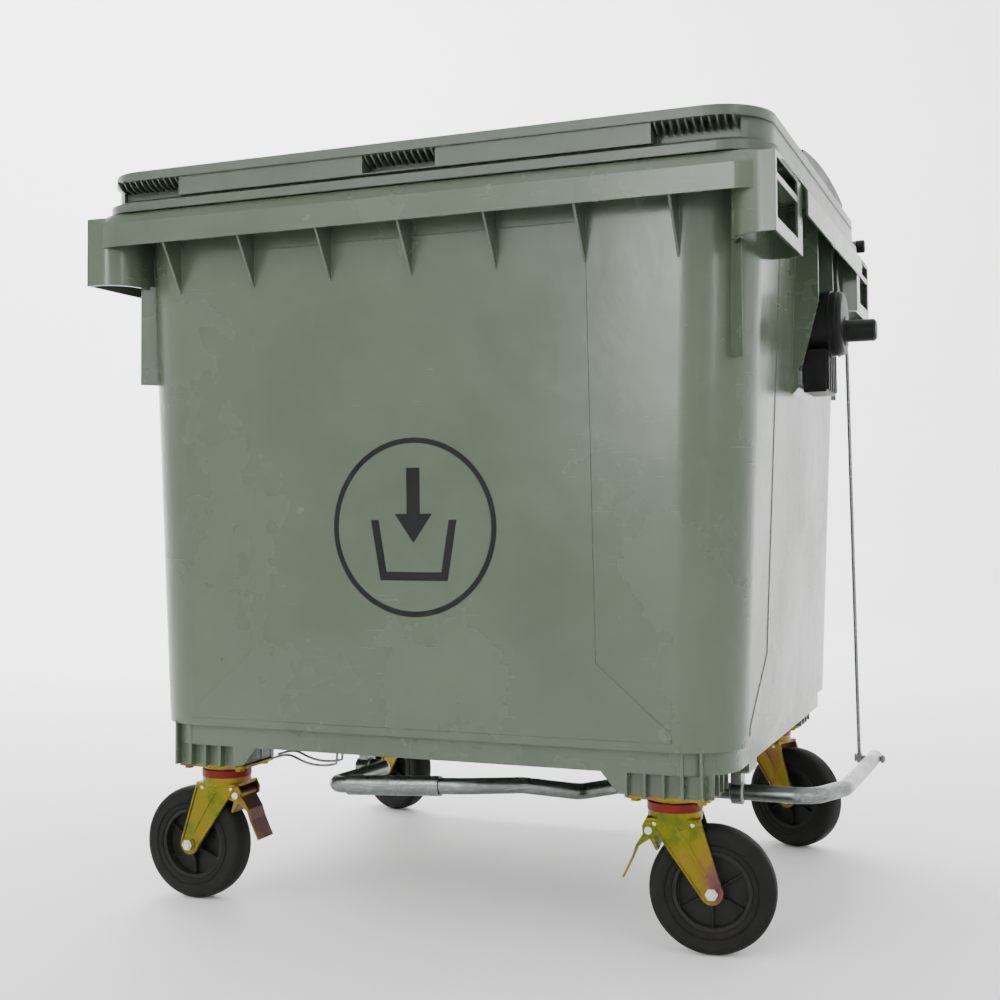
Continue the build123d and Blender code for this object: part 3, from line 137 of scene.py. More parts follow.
class EffectLibrary:
    """Builds each shared effect group once and hands it to the finishes."""

    def __init__(self) -> None:
        self.groups: dict[Effect, bpy.types.NodeTree] = {}

    def use(self, graph: Graph, effect: Effect, **inputs) -> bpy.types.Node:
        """Add one effect to a material.

        Args:
            graph: The material's graph.
            effect: Which effect to add.
            inputs: Values or sockets for the group's named inputs.

        Returns:
            The group node.
        """
        if effect not in self.groups:
            self.groups[effect] = self._build(effect)
        made = graph.node("ShaderNodeGroup", node_tree=self.groups[effect])
        for key, value in inputs.items():
            socket = made.inputs[key]
            if isinstance(value, bpy.types.NodeSocket):
                graph.tree.links.new(value, socket)
            else:
                socket.default_value = value
        return made

    def _build(self, effect: Effect) -> bpy.types.NodeTree:
        """Make the node group for one effect."""
        tree = bpy.data.node_groups.new(effect.value, "ShaderNodeTree")
        wire: dict[Effect, Callable[[Graph], None]] = {
            Effect.MOTTLE: self._mottle,
            Effect.GRAIN: self._grain,
            Effect.EDGE: self._edge,
            Effect.DUST: self._dust,
            Effect.SCUFF: self._scuff,
        }
        wire[effect](Graph(tree))
        return tree

    @staticmethod
    def _sockets(graph: Graph, ins: dict[str, float | None], outs: dict[str, str]) -> tuple:
        """Declare a group's sockets: a None input is a vector, a number is a float default."""
        for name, value in ins.items():
            kind = "NodeSocketVector" if value is None else "NodeSocketFloat"
            made = graph.tree.interface.new_socket(name, in_out="INPUT", socket_type=kind)
            if value is not None:
                made.default_value = value
        for name, kind in outs.items():
            graph.tree.interface.new_socket(name, in_out="OUTPUT", socket_type=f"NodeSocket{kind}")
        return graph.node("NodeGroupInput").outputs, graph.node("NodeGroupOutput").inputs

    def _mottle(self, graph: Graph) -> None:
        """Soft uneven cooling waves of a large moulding, and their height."""
        given, out = self._sockets(
            graph, {"Vector": None, "Scale": 5.0}, {"Mask": "Float", "Height": "Float"}
        )
        broad = graph.node(
            "ShaderNodeTexNoise",
            {"Vector": given["Vector"], "Scale": given["Scale"], "Detail": 2.0, "Roughness": 0.4},
        ).outputs[0]
        fine_scale = graph.math("MULTIPLY", given["Scale"], 5.3)
        fine = graph.node(
            "ShaderNodeTexNoise",
            {"Vector": given["Vector"], "Scale": fine_scale, "Detail": 3.0, "Roughness": 0.5},
        ).outputs[0]
        both = graph.math("MULTIPLY_ADD", fine, 0.3, graph.math("MULTIPLY", broad, 0.7))
        graph.tree.links.new(graph.span(both, 0.35, 0.65, 0.0, 1.0), out["Mask"])
        graph.tree.links.new(both, out["Height"])

    def _grain(self, graph: Graph) -> None:
        """Fine moulded or cast grain, as a bump height."""
        given, out = self._sockets(graph, {"Vector": None, "Scale": 900.0}, {"Height": "Float"})
        cells = graph.node(
            "ShaderNodeTexVoronoi", {"Vector": given["Vector"], "Scale": given["Scale"]}
        ).outputs[0]
        haze = graph.node(
            "ShaderNodeTexNoise", {"Vector": given["Vector"], "Scale": given["Scale"], "Detail": 2.0}
        ).outputs[0]
        graph.tree.links.new(graph.math("MULTIPLY", cells, haze), out["Height"])

    def _edge(self, graph: Graph) -> None:
        """Rounded edge normal, and a broken mask along edges and corners."""
        given, out = self._sockets(
            graph, {"Vector": None, "Radius": 0.0015, "Break": 60.0}, {"Mask": "Float", "Normal": "Vector"}
        )
        round_normal = graph.node("ShaderNodeBevel", {"Radius": given["Radius"]}, samples=4).outputs[0]
        flat_normal = graph.node("ShaderNodeNewGeometry").outputs["Normal"]
        facing = graph.node(
            "ShaderNodeVectorMath", {0: round_normal, 1: flat_normal}, operation="DOT_PRODUCT"
        )
        bend = graph.span(facing.outputs["Value"], 0.995, 0.86, 0.0, 1.0)
        patches = graph.node(
            "ShaderNodeTexNoise", {"Vector": given["Vector"], "Scale": given["Break"], "Detail": 4.0}
        ).outputs[0]
        broken = graph.span(patches, 0.42, 0.62, 0.15, 1.0)
        graph.tree.links.new(graph.math("MULTIPLY", bend, broken, clamp=True), out["Mask"])
        graph.tree.links.new(round_normal, out["Normal"])

    def _dust(self, graph: Graph) -> None:
        """Settled dust: strong near the floor and on upward faces, patchy above."""
        given, out = self._sockets(
            graph, {"Vector": None, "Reach": 0.5, "Patch": 14.0, "Lying": 0.25}, {"Mask": "Float"}
        )
        height = graph.node("ShaderNodeSeparateXYZ", {0: given["Vector"]}).outputs[2]
        low = graph.math("SUBTRACT", 1.0, graph.math("DIVIDE", height, given["Reach"]), clamp=True)
        patches = graph.node(
            "ShaderNodeTexNoise",
            {"Vector": given["Vector"], "Scale": given["Patch"], "Detail": 4.0, "Roughness": 0.5},
        ).outputs[0]
        spread = graph.span(patches, 0.2, 0.85, 0.0, 1.0)
        normal = graph.node("ShaderNodeNewGeometry").outputs["Normal"]
        up = graph.node("ShaderNodeSeparateXYZ", {0: normal}).outputs[2]
        lying = graph.math("MULTIPLY", graph.span(up, 0.4, 1.0, 0.0, 1.0), given["Lying"])
        total = graph.math("ADD", graph.math("MULTIPLY", low, 0.8), lying)
        graph.tree.links.new(graph.math("MULTIPLY", total, spread, clamp=True), out["Mask"])

    def _scuff(self, graph: Graph) -> None:
        """Thin scattered scratches."""
        given, out = self._sockets(graph, {"Vector": None, "Scale": 9.0}, {"Mask": "Float"})
        marks = []
        for turn, stretch in ((0.5, 26.0), (1.9, 34.0)):
            turned = {"Rotation": (0.3, turn, turn * 0.7), "Scale": (1.0, 1.0, stretch)}
            mapped = graph.node("ShaderNodeMapping", {"Vector": given["Vector"], **turned}).outputs[0]
            lines = graph.node(
                "ShaderNodeTexNoise",
                {"Vector": mapped, "Scale": given["Scale"], "Detail": 2.0, "Distortion": 0.3},
            ).outputs[0]
            marks.append(graph.span(lines, 0.68, 0.71, 0.0, 1.0))
        graph.tree.links.new(graph.math("MAXIMUM", *marks), out["Mask"])


library = EffectLibrary()


@dataclass(frozen=True)
class Finish:
    """A procedural material.

    Args:
        slot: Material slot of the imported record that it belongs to, or "" for the studio.
        colour: Main base colour, linear.
        second: Second base colour, for the mottled variation.
        roughness: Lowest and highest roughness.
        metallic: Metallic value.
        specular: Strength of the bare surface's reflection.
    """

    slot: str
    colour: tuple[float, float, float]
    second: tuple[float, float, float]
    roughness: tuple[float, float]
    metallic: float = 0.0
    specular: float = 0.5

    def make(self) -> bpy.types.Material:
        """Build the material's nodes.

        Returns:
            The new material.
        """
        material = bpy.data.materials.new(f"{self.slot or 'studio'}_finish")
        material.use_nodes = True
        material.node_tree.nodes.clear()
        graph = Graph(material.node_tree)
        settings = {"Metallic": self.metallic, "Specular IOR Level": self.specular}
        shader = graph.node("ShaderNodeBsdfPrincipled", settings)
        output = graph.node("ShaderNodeOutputMaterial")
        graph.tree.links.new(shader.outputs[0], output.inputs[0])
        where = graph.node("ShaderNodeTexCoord").outputs["Object"]
        self.wire(graph, shader, where)
        return material

    def wire(self, graph: Graph, shader: bpy.types.Node, where: bpy.types.NodeSocket) -> None:
        """Fill in this finish's own nodes."""
        raise NotImplementedError

    @staticmethod
    def bump(
        graph: Graph, layers: Sequence[tuple], normal: bpy.types.NodeSocket | None = None
    ) -> bpy.types.NodeSocket | None:
        """Chain bump nodes.

        Args:
            graph: The material's graph.
            layers: (height socket, strength, distance) for each bump.
            normal: Normal that the first bump starts from.

        Returns:
            The last bump's normal output.
        """
        for height, strength, distance in layers:
            inputs = {"Height": height, "Strength": strength, "Distance": distance}
            if normal is not None:
                inputs["Normal"] = normal
            normal = graph.node("ShaderNodeBump", inputs).outputs[0]
        return normal


@dataclass(frozen=True)
class MouldedPlastic(Finish):
    """Glossy or satin moulded plastic with cooling waves, edge rub, scratches and dust."""

    dust: tuple[float, float, float] = (0.12, 0.115, 0.095)
    dust_amount: float = 0.12
    wave: float = 0.25
    wave_scale: float = 3.6
    grain: float = 0.06
    edge_radius: float = 0.002
    edge_colour: tuple[float, float, float] = (0.19, 0.225, 0.185)
    edge_amount: float = 0.28
    coat: float = 0.0

    def wire(self, graph: Graph, shader: bpy.types.Node, where: bpy.types.NodeSocket) -> None:
        """Mottled colour, rubbed edges and wavy reflections."""
        mottle = library.use(graph, Effect.MOTTLE, Vector=where, Scale=self.wave_scale)
        edge = library.use(graph, Effect.EDGE, Vector=where, Radius=self.edge_radius)
        dust = library.use(graph, Effect.DUST, Vector=where, Reach=0.55)
        scuff = library.use(graph, Effect.SCUFF, Vector=where)
        grain = library.use(graph, Effect.GRAIN, Vector=where, Scale=1400.0)
        body = graph.mix(mottle.outputs["Mask"], (*self.colour, 1.0), (*self.second, 1.0))
        rubbed = graph.mix(
            graph.math("MULTIPLY", edge.outputs["Mask"], self.edge_amount), body, (*self.edge_colour, 1.0)
        )
        scratch = graph.math("MULTIPLY", scuff.outputs["Mask"], 0.008)
        marked = graph.mix(scratch, rubbed, (*self.edge_colour, 1.0))
        film = graph.math("MULTIPLY", dust.outputs["Mask"], self.dust_amount)
        graph.tree.links.new(graph.mix(film, marked, (*self.dust, 1.0)), shader.inputs["Base Color"])
        sheen = graph.span(mottle.outputs["Mask"], 0.0, 1.0, *self.roughness)
        rough = graph.math("ADD", sheen, graph.math("MULTIPLY", film, 0.5))
        rough = graph.math("ADD", rough, graph.math("MULTIPLY", scuff.outputs["Mask"], 0.015), clamp=True)
        graph.tree.links.new(rough, shader.inputs["Roughness"])
        shader.inputs["Coat Weight"].default_value = self.coat
        shader.inputs["Coat Roughness"].default_value = 0.12
        normal = self.bump(
            graph,
            (
                (mottle.outputs["Height"], self.wave, 0.01),
                (grain.outputs["Height"], self.grain, 0.0002),
            ),
            edge.outputs["Normal"],
        )
        graph.tree.links.new(normal, shader.inputs["Normal"])


@dataclass(frozen=True)
class PassivatedSteel(Finish):
    """Zinc plate with a yellow, green and pink passivation film, stamped edges and rub marks."""

    def wire(self, graph: Graph, shader: bpy.types.Node, where: bpy.types.NodeSocket) -> None:
        """Drifting film colours over bright metal."""
        mottle = library.use(graph, Effect.MOTTLE, Vector=where, Scale=9.0)
        edge = library.use(graph, Effect.EDGE, Vector=where, Radius=0.0012, Break=110.0)
        dust = library.use(graph, Effect.DUST, Vector=where, Reach=0.26, Patch=45.0, Lying=0.4)
        grain = library.use(graph, Effect.GRAIN, Vector=where, Scale=2200.0)
        film = graph.ramp(
            mottle.outputs["Height"],
            (
                (0.34, (0.055, 0.09, 0.010)),
                (0.44, self.colour),
                (0.52, (0.19, 0.135, 0.012)),
                (0.59, self.second),
                (0.66, (0.12, 0.05, 0.055)),
            ),
        )
        worn = graph.mix(graph.math("MULTIPLY", edge.outputs["Mask"], 0.35), film, (0.30, 0.26, 0.13, 1.0))
        dirty = graph.math("MULTIPLY", dust.outputs["Mask"], 0.45)
        graph.tree.links.new(graph.mix(dirty, worn, (0.10, 0.085, 0.06, 1.0)), shader.inputs["Base Color"])
        sheen = graph.span(mottle.outputs["Mask"], 0.0, 1.0, *self.roughness)
        graph.tree.links.new(graph.math("MULTIPLY_ADD", dirty, 0.7, sheen), shader.inputs["Roughness"])
        normal = self.bump(
            graph,
            ((mottle.outputs["Height"], 0.15, 0.004), (grain.outputs["Height"], 0.12, 0.0002)),
            edge.outputs["Normal"],
        )
        graph.tree.links.new(normal, shader.inputs["Normal"])


@dataclass(frozen=True)
class GalvanisedSteel(Finish):
    """Zinc coated steel with crystal spangle, drawn streaks and dull patches."""

    spangle: float = 95.0

    def wire(self, graph: Graph, shader: bpy.types.Node, where: bpy.types.NodeSocket) -> None:
        """Spangle cells and patchy brightness."""
        cells = graph.node("ShaderNodeTexVoronoi", {"Vector": where, "Scale": self.spangle}).outputs["Color"]
        tone = graph.node("ShaderNodeSeparateColor", {0: cells}).outputs[0]
        mottle = library.use(graph, Effect.MOTTLE, Vector=where, Scale=16.0)
        edge = library.use(graph, Effect.EDGE, Vector=where, Radius=0.001, Break=90.0)
        scuff = library.use(graph, Effect.SCUFF, Vector=where, Scale=22.0)
        dust = library.use(graph, Effect.DUST, Vector=where, Reach=0.5, Patch=30.0, Lying=0.3)
        base = graph.mix(graph.span(tone, 0.0, 1.0, 0.2, 0.8), (*self.colour, 1.0), (*self.second, 1.0))
        dull = graph.mix(graph.math("MULTIPLY", mottle.outputs["Mask"], 0.5), base, (*self.second, 1.0))
        bright = graph.mix(graph.math("MULTIPLY", scuff.outputs["Mask"], 0.5), dull, (0.72, 0.73, 0.72, 1.0))
        dirty = graph.math("MULTIPLY", dust.outputs["Mask"], 0.35)
        graph.tree.links.new(graph.mix(dirty, bright, (0.13, 0.12, 0.10, 1.0)), shader.inputs["Base Color"])
        patchy = graph.math("MULTIPLY_ADD", tone, 0.4, mottle.outputs["Mask"])
        sheen = graph.span(patchy, 0.0, 1.4, *self.roughness)
        graph.tree.links.new(graph.math("MULTIPLY_ADD", dirty, 0.6, sheen), shader.inputs["Roughness"])
        normal = self.bump(
            graph, ((mottle.outputs["Height"], 0.1, 0.003), (tone, 0.05, 0.0003)), edge.outputs["Normal"]
        )
        graph.tree.links.new(normal, shader.inputs["Normal"])


@dataclass(frozen=True)
class Rubber(Finish):
    """Matte rubber with a fine grain, chalky scuffs and floor dust."""

    dust: tuple[float, float, float] = (0.055, 0.050, 0.042)
    reach: float = 0.22

    def wire(self, graph: Graph, shader: bpy.types.Node, where: bpy.types.NodeSocket) -> None:
        """Dark rubber greyed where it is rubbed."""
        mottle = library.use(graph, Effect.MOTTLE, Vector=where, Scale=22.0)
        dust = library.use(graph, Effect.DUST, Vector=where, Reach=self.reach, Patch=38.0, Lying=0.3)
        scuff = library.use(graph, Effect.SCUFF, Vector=where, Scale=30.0)
        grain = library.use(graph, Effect.GRAIN, Vector=where, Scale=1100.0)
        base = graph.mix(mottle.outputs["Mask"], (*self.colour, 1.0), (*self.second, 1.0))
        film = graph.math("MULTIPLY", dust.outputs["Mask"], 0.22)
        soiled = graph.mix(film, base, (*self.dust, 1.0))
        scratch = graph.math("MULTIPLY", scuff.outputs["Mask"], 0.06)
        marked = graph.mix(scratch, soiled, (0.04, 0.04, 0.039, 1.0))
        graph.tree.links.new(marked, shader.inputs["Base Color"])
        graph.tree.links.new(
            graph.span(mottle.outputs["Mask"], 0.0, 1.0, *self.roughness), shader.inputs["Roughness"]
        )
        normal = self.bump(
            graph, ((mottle.outputs["Height"], 0.2, 0.001), (grain.outputs["Height"], 0.5, 0.0003))
        )
        graph.tree.links.new(normal, shader.inputs["Normal"])


@dataclass(frozen=True)
class StudioFloor(Finish):
    """Pale seamless floor with a barely visible unevenness."""

    def wire(self, graph: Graph, shader: bpy.types.Node, where: bpy.types.NodeSocket) -> None:
        """Soft tone drift."""
        mottle = library.use(graph, Effect.MOTTLE, Vector=where, Scale=1.4)
        tone = graph.mix(mottle.outputs["Mask"], (*self.colour, 1.0), (*self.second, 1.0))
        graph.tree.links.new(tone, shader.inputs["Base Color"])
        graph.tree.links.new(
            graph.span(mottle.outputs["Mask"], 0.0, 1.0, *self.roughness), shader.inputs["Roughness"]
        )
        grain = library.use(graph, Effect.GRAIN, Vector=where, Scale=500.0)
        normal = self.bump(graph, ((grain.outputs["Height"], 0.1, 0.0005),))
        graph.tree.links.new(normal, shader.inputs["Normal"])


FINISHES: tuple[Finish, ...] = (
    MouldedPlastic(
        "tub_plastic", (0.054, 0.074, 0.047), (0.067, 0.090, 0.058), (0.19, 0.31),
        specular=0.36, coat=0.1,
    ),
    MouldedPlastic(
        "lid_plastic", (0.050, 0.067, 0.047), (0.061, 0.080, 0.058), (0.28, 0.4),
        specular=0.36, coat=0.05, wave=0.3,
    ),
    MouldedPlastic(
        "black_plastic", (0.006, 0.007, 0.006), (0.010, 0.011, 0.010), (0.34, 0.5),
        edge_colour=(0.02, 0.02, 0.02), dust_amount=0.03, grain=0.25, wave=0.1, specular=0.14,
    ),
    MouldedPlastic(
        "hub_plastic", (0.009, 0.009, 0.009), (0.016, 0.016, 0.015), (0.38, 0.55),
        edge_colour=(0.03, 0.03, 0.028), dust_amount=0.06, grain=0.3, wave=0.1,
        edge_radius=0.0012, specular=0.12,
    ),
    MouldedPlastic(
        "red_seal", (0.17, 0.002, 0.002), (0.11, 0.001, 0.001), (0.3, 0.42),
        edge_colour=(0.22, 0.01, 0.008), dust_amount=0.02, wave=0.1, edge_radius=0.001, specular=0.2,
    ),
    MouldedPlastic(
        "white_nylon", (0.60, 0.59, 0.54), (0.52, 0.51, 0.46), (0.34, 0.48),
        edge_colour=(0.7, 0.69, 0.65), dust_amount=0.2, wave=0.1, edge_radius=0.0008,
    ),
    PassivatedSteel("yellow_zinc", (0.135, 0.130, 0.013), (0.165, 0.085, 0.032), (0.2, 0.4), 1.0),
    GalvanisedSteel("galvanised", (0.23, 0.245, 0.24), (0.14, 0.155, 0.15), (0.18, 0.36), 1.0),
    GalvanisedSteel("bright_zinc", (0.62, 0.62, 0.60), (0.50, 0.50, 0.48), (0.16, 0.3), 1.0, spangle=160.0),
    GalvanisedSteel("rod_steel", (0.24, 0.25, 0.24), (0.16, 0.17, 0.16), (0.28, 0.45), 1.0, spangle=200.0),
    Rubber("tyre", (0.006, 0.006, 0.006), (0.010, 0.010, 0.009), (0.55, 0.75), specular=0.12),
    Rubber("black_rubber", (0.012, 0.012, 0.012), (0.02, 0.02, 0.02), (0.6, 0.8), specular=0.15),
)


class Workshop:
    """Holds the finished materials and puts pieces on the CAD bodies."""

    def __init__(self) -> None:
        self.materials = {finish.slot: finish.make() for finish in FINISHES}
        self.body_of_node = {
            node: body for body, nodes in frame["record"]["behaviour"]["bodies"].items() for node in nodes
        }

    def dress_cad(self) -> int:
        """Give every CAD node its finish.

        Returns:
            How many nodes were dressed.
        """
        for row in frame["record"]["subparts"]:
            node = frame["nodes"][row["node"]]
            node.data.materials.clear()
            node.data.materials.append(self.materials[row["material_slot"]])
        return len(frame["record"]["subparts"])

    def place(self, shape: "Shape", slot: str, body: str) -> bpy.types.Object:
        """Turn a shape into a piece that rides on a body.

        Args:
            shape: The finished geometry.
            slot: Material slot that it takes its finish from.
            body: CAD body that carries it.

        Returns:
            The new object.
        """
        made = shape.to_object()
        made.data.materials.append(self.materials[slot])
        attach(made, body)
        log.info("%s: %d faces on %s", made.name, len(made.data.polygons), body)
        return made


@dataclass
class Shape:
    """Geometry of one piece, gathered in a bmesh.

    Args:
        name: Piece name.
        mesh: The bmesh being filled.
    """

    name: str
    mesh: bmesh.types.BMesh = field(default_factory=bmesh.new)

    def lathe(self, profile: Sequence[tuple[float, float]], placed: Matrix, segments: int = 72) -> None:
        """Revolve a closed (radius, height) profile about the placed frame's z axis."""
        rings = []
        for i in range(segments):
            turn = 2 * math.pi * i / segments
            rings.append(
                [
                    self.mesh.verts.new(placed @ Vector((r * math.cos(turn), r * math.sin(turn), h)))
                    for r, h in profile
                ]
            )
        for i, ring in enumerate(rings):
            after = rings[(i + 1) % segments]
            for j in range(len(profile)):
                k = (j + 1) % len(profile)
                self.mesh.faces.new((ring[j], after[j], after[k], ring[k]))

    def plate(
        self, outline: Sequence[tuple[float, float]], placed: Matrix, depth: float, round_by: float = 0.0
    ) -> None:
        """Extrude a flat outline along the placed frame's z axis and round its edges.

        Args:
            outline: Points in the frame's xy plane.
            placed: Frame of the outline.
            depth: Thickness.
            round_by: Radius of the rounded edges, or 0.
        """
        base = [self.mesh.verts.new(placed @ Vector((x, y, 0))) for x, y in outline]
        bottom = self.mesh.faces.new(base)
        grown = bmesh.ops.extrude_face_region(self.mesh, geom=[bottom])
        top = [v for v in grown["geom"] if isinstance(v, bmesh.types.BMVert)]
        bmesh.ops.translate(self.mesh, verts=top, vec=(placed.to_3x3() @ Vector((0, 0, depth))))
        if round_by:
            mine = set(base) | set(top)
            edges = [e for e in self.mesh.edges if e.verts[0] in mine and e.verts[1] in mine]
            bmesh.ops.bevel(self.mesh, geom=edges, offset=round_by, segments=2, affect="EDGES", profile=0.6)

    def tube(self, path: Sequence[Vector], radius: float, sides: int = 14) -> None:
        """Round tube along a path, closed at both ends."""
        rings = []
        for i, point in enumerate(path):
            ahead = path[min(i + 1, len(path) - 1)] - path[max(i - 1, 0)]
            turn = ahead.to_track_quat("Z", "Y").to_matrix()
            rings.append(
                [
                    self.mesh.verts.new(
                        point
                        + turn
                        @ Vector((math.cos(2 * math.pi * j / sides), math.sin(2 * math.pi * j / sides), 0))
                        * radius
                    )
                    for j in range(sides)
                ]
            )
        for ring, after in zip(rings, rings[1:]):
            for j in range(sides):
                k = (j + 1) % sides
                self.mesh.faces.new((ring[j], ring[k], after[k], after[j]))
        self.mesh.faces.new(reversed(rings[0]))
        self.mesh.faces.new(rings[-1])

    def dome(self, placed: Matrix, radius: float, height: float) -> None:
        """Rivet head: a flat-backed dome on the placed frame's xy plane."""
        steps = 5
        profile = [(0.0, 0.0), (radius, 0.0)]
        for i in range(steps + 1):
            rise = math.pi / 2 * i / steps
            profile.append((radius * math.cos(rise), height * (0.25 + 0.75 * math.sin(rise))))
        self.lathe(profile, placed, 20)

    def to_object(self) -> bpy.types.Object:
        """Weld, orient and smooth the mesh.

        Returns:
            A linked object holding it.
        """
        bmesh.ops.remove_doubles(self.mesh, verts=self.mesh.verts, dist=1e-6)
        bmesh.ops.dissolve_degenerate(self.mesh, edges=self.mesh.edges, dist=1e-7)
        bmesh.ops.recalc_face_normals(self.mesh, faces=self.mesh.faces)
        data = bpy.data.meshes.new(self.name)
        self.mesh.to_mesh(data)
        self.mesh.free()
        data.shade_smooth()
        data.set_sharp_from_angle(angle=math.radians(34))
        made = bpy.data.objects.new(self.name, data)
        bpy.context.scene.collection.objects.link(made)
        return made


def joint(name: str) -> dict:
    """The record's joint with this name."""
    return next(j for j in frame["joints"] if j["name"] == name)


def axis_frame(origin: Vector, forward: Vector, up: Vector) -> Matrix:
    """Frame with z along forward and y as near to up as it can be."""
    z = forward.normalized()
    x = up.cross(z).normalized()
    y = z.cross(x)
    made = Matrix((x, y, z)).transposed().to_4x4()
    made.translation = origin
    return made


def wall_hit(node: str, start: Vector, towards: Vector) -> Vector:
    """Where a ray first meets a CAD node."""
    found, place, _normal, _index = frame["nodes"][node].ray_cast(start, towards)
    if not found:
        raise ValueError(f"the ray from {tuple(start)} misses {node}")
    return place


@dataclass
class Wheel:
    """Solid tyre and hub ribs of one caster.

    Args:
        name: Caster name.
        width: Tread width.
        bore: Radius where the tyre meets the hub.
    """

    name: str
    width: float = 0.050
    bore: float = 0.062
    rib_count: int = 6

    def __post_init__(self) -> None:
        spin = joint(f"wheel_spin_{self.name}")
        self.centre = Vector(spin["pos_m"])
        self.placed = axis_frame(self.centre, Vector(spin["axis"]), Vector((0, 0, 1)))
        low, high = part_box(f"caster_{self.name}_tyre")
        self.radius = (high.z - low.z) / 2

    def tyre(self) -> Shape:
        """Tyre with round shoulders, a side ring groove and a moulding seam."""
        half, r = self.width / 2, self.radius - 0.0001
        side = [
            (self.bore, half - 0.0035), (self.bore + 0.002, half - 0.0012),
            (self.bore + 0.005, half - 0.0008),
            (self.bore + 0.0085, half - 0.0008), (self.bore + 0.0095, half - 0.0022),
            (self.bore + 0.0115, half - 0.0022),
            (self.bore + 0.0125, half - 0.0004), (r - 0.014, half), (r - 0.0105, half - 0.0006),
            (r - 0.0068, half - 0.0024), (r - 0.0038, half - 0.0052), (r - 0.0018, half - 0.0088),
            (r - 0.0006, half - 0.0135), (r - 0.0001, half - 0.0185), (r - 0.0001, 0.0014), (r, 0.0007),
        ]
        profile = side + [(x, -y) for x, y in reversed(side)]
        shape = Shape(f"tyre_{self.name}")
        shape.lathe(profile, self.placed, 112)
        return shape

    def ribs(self) -> Shape:
        """Thin radial ribs on both faces of the hub."""
        shape = Shape(f"hub_ribs_{self.name}")
        outline = [
            (0.0172, 0.0050), (0.0562, 0.0050), (0.0562, 0.0150),
            (0.0500, 0.0112), (0.0300, 0.0150), (0.0172, 0.0220),
        ]
        for i in range(self.rib_count):
            turn = Matrix.Rotation(math.radians(30 + 60 * i), 4, "Z")
            for flip in (1, -1):
                stand = Matrix.Rotation(math.radians(90 * flip), 4, "X")
                placed = self.placed @ turn @ stand @ Matrix.Translation((0, 0, -0.0011))
                shape.plate(outline, placed, 0.0022, 0.0004)
        return shape

    def build(self, shop: Workshop) -> None:
        """Place both pieces on the wheel's body."""
        body = f"wheel_{self.name}"
        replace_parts(shop.place(self.tyre(), "tyre", body), f"caster_{self.name}_tyre")
        shop.place(self.ribs(), "hub_plastic", body)


@dataclass
class ForkDressing:
    """Pressed beads, edge folds and rivets on one caster's fork.

    Args:
        name: Caster name.
        trail: How far the axle stands behind the kingpin.
        leg_face: Distance from the middle to a leg's outer face.
    """

    name: str
    trail: float = 0.058
    leg_face: float = 0.033
    axle_z: float = 0.100

    def __post_init__(self) -> None:
        swivel, spin = joint(f"swivel_{self.name}"), joint(f"wheel_spin_{self.name}")
        kingpin = Vector(swivel["pos_m"])
        kingpin.z = 0.0
        across = Vector(spin["axis"])
        along = across.cross(Vector((0, 0, 1)))
        self.local = Matrix((along, across, Vector((0, 0, 1)))).transposed().to_4x4()
        self.local.translation = kingpin

    def face(self, side: int) -> Matrix:
        """Frame on a leg's outer face: x along the trail, y up, z outwards."""
        turn = Matrix(((1, 0, 0, 0), (0, 0, -1, 0), (0, 1, 0, 0), (0, 0, 0, 1)))
        if side > 0:
            turn = Matrix(((1, 0, 0, 0), (0, 0, 1, 0), (0, 1, 0, 0), (0, 0, 0, 1)))
        return self.local @ Matrix.Translation((0, side * self.leg_face, 0)) @ turn

    def strip(
        self, start: tuple[float, float], end: tuple[float, float], half: float
    ) -> list[tuple[float, float]]:
        """Outline of a straight strip between two points of a leg's face."""
        direction = Vector(end) - Vector(start)
        across = Vector((-direction.y, direction.x)).normalized() * half
        corners = (Vector(start) + across, Vector(start) - across, Vector(end) - across, Vector(end) + across)
        return [(c.x, c.y) for c in corners]

    def build(self, shop: Workshop) -> None:
        """Place the pressed details on the swivelling body."""
        shape = Shape(f"fork_details_{self.name}")
        rivets = Shape(f"fork_rivets_{self.name}")
        for side in (-1, 1):
            placed = self.face(side)
            shape.plate(self.strip((0.004, 0.199), (0.050, 0.124), 0.0035), placed, 0.0013, 0.0006)
            shape.plate(self.strip((-0.0356, 0.2057), (0.0437, 0.0929), 0.0017), placed, 0.0024, 0.0006)
            shape.plate(self.strip((0.0423, 0.2027), (0.0723, 0.1073), 0.0017), placed, 0.0024, 0.0006)
            crown = [(-0.041, 0.2085), (0.041, 0.2085), (0.041, 0.2125), (-0.041, 0.2125)]
            shape.plate(crown, placed, 0.0042, 0.0008)
            for x, z in ((-0.030, 0.2035), (0.030, 0.2035)):
                rivets.dome(placed @ Matrix.Translation((x, z, 0)), 0.0036, 0.0024)
            washer = [(0.0062, 0.0), (0.0128, 0.0), (0.0128, 0.0012), (0.0062, 0.0012)]
            shape.lathe(washer, placed @ Matrix.Translation((self.trail, self.axle_z, 0)), 32)
        body = f"caster_{self.name}"
        shop.place(shape, "yellow_zinc", body)
        shop.place(rivets, "bright_zinc", body)


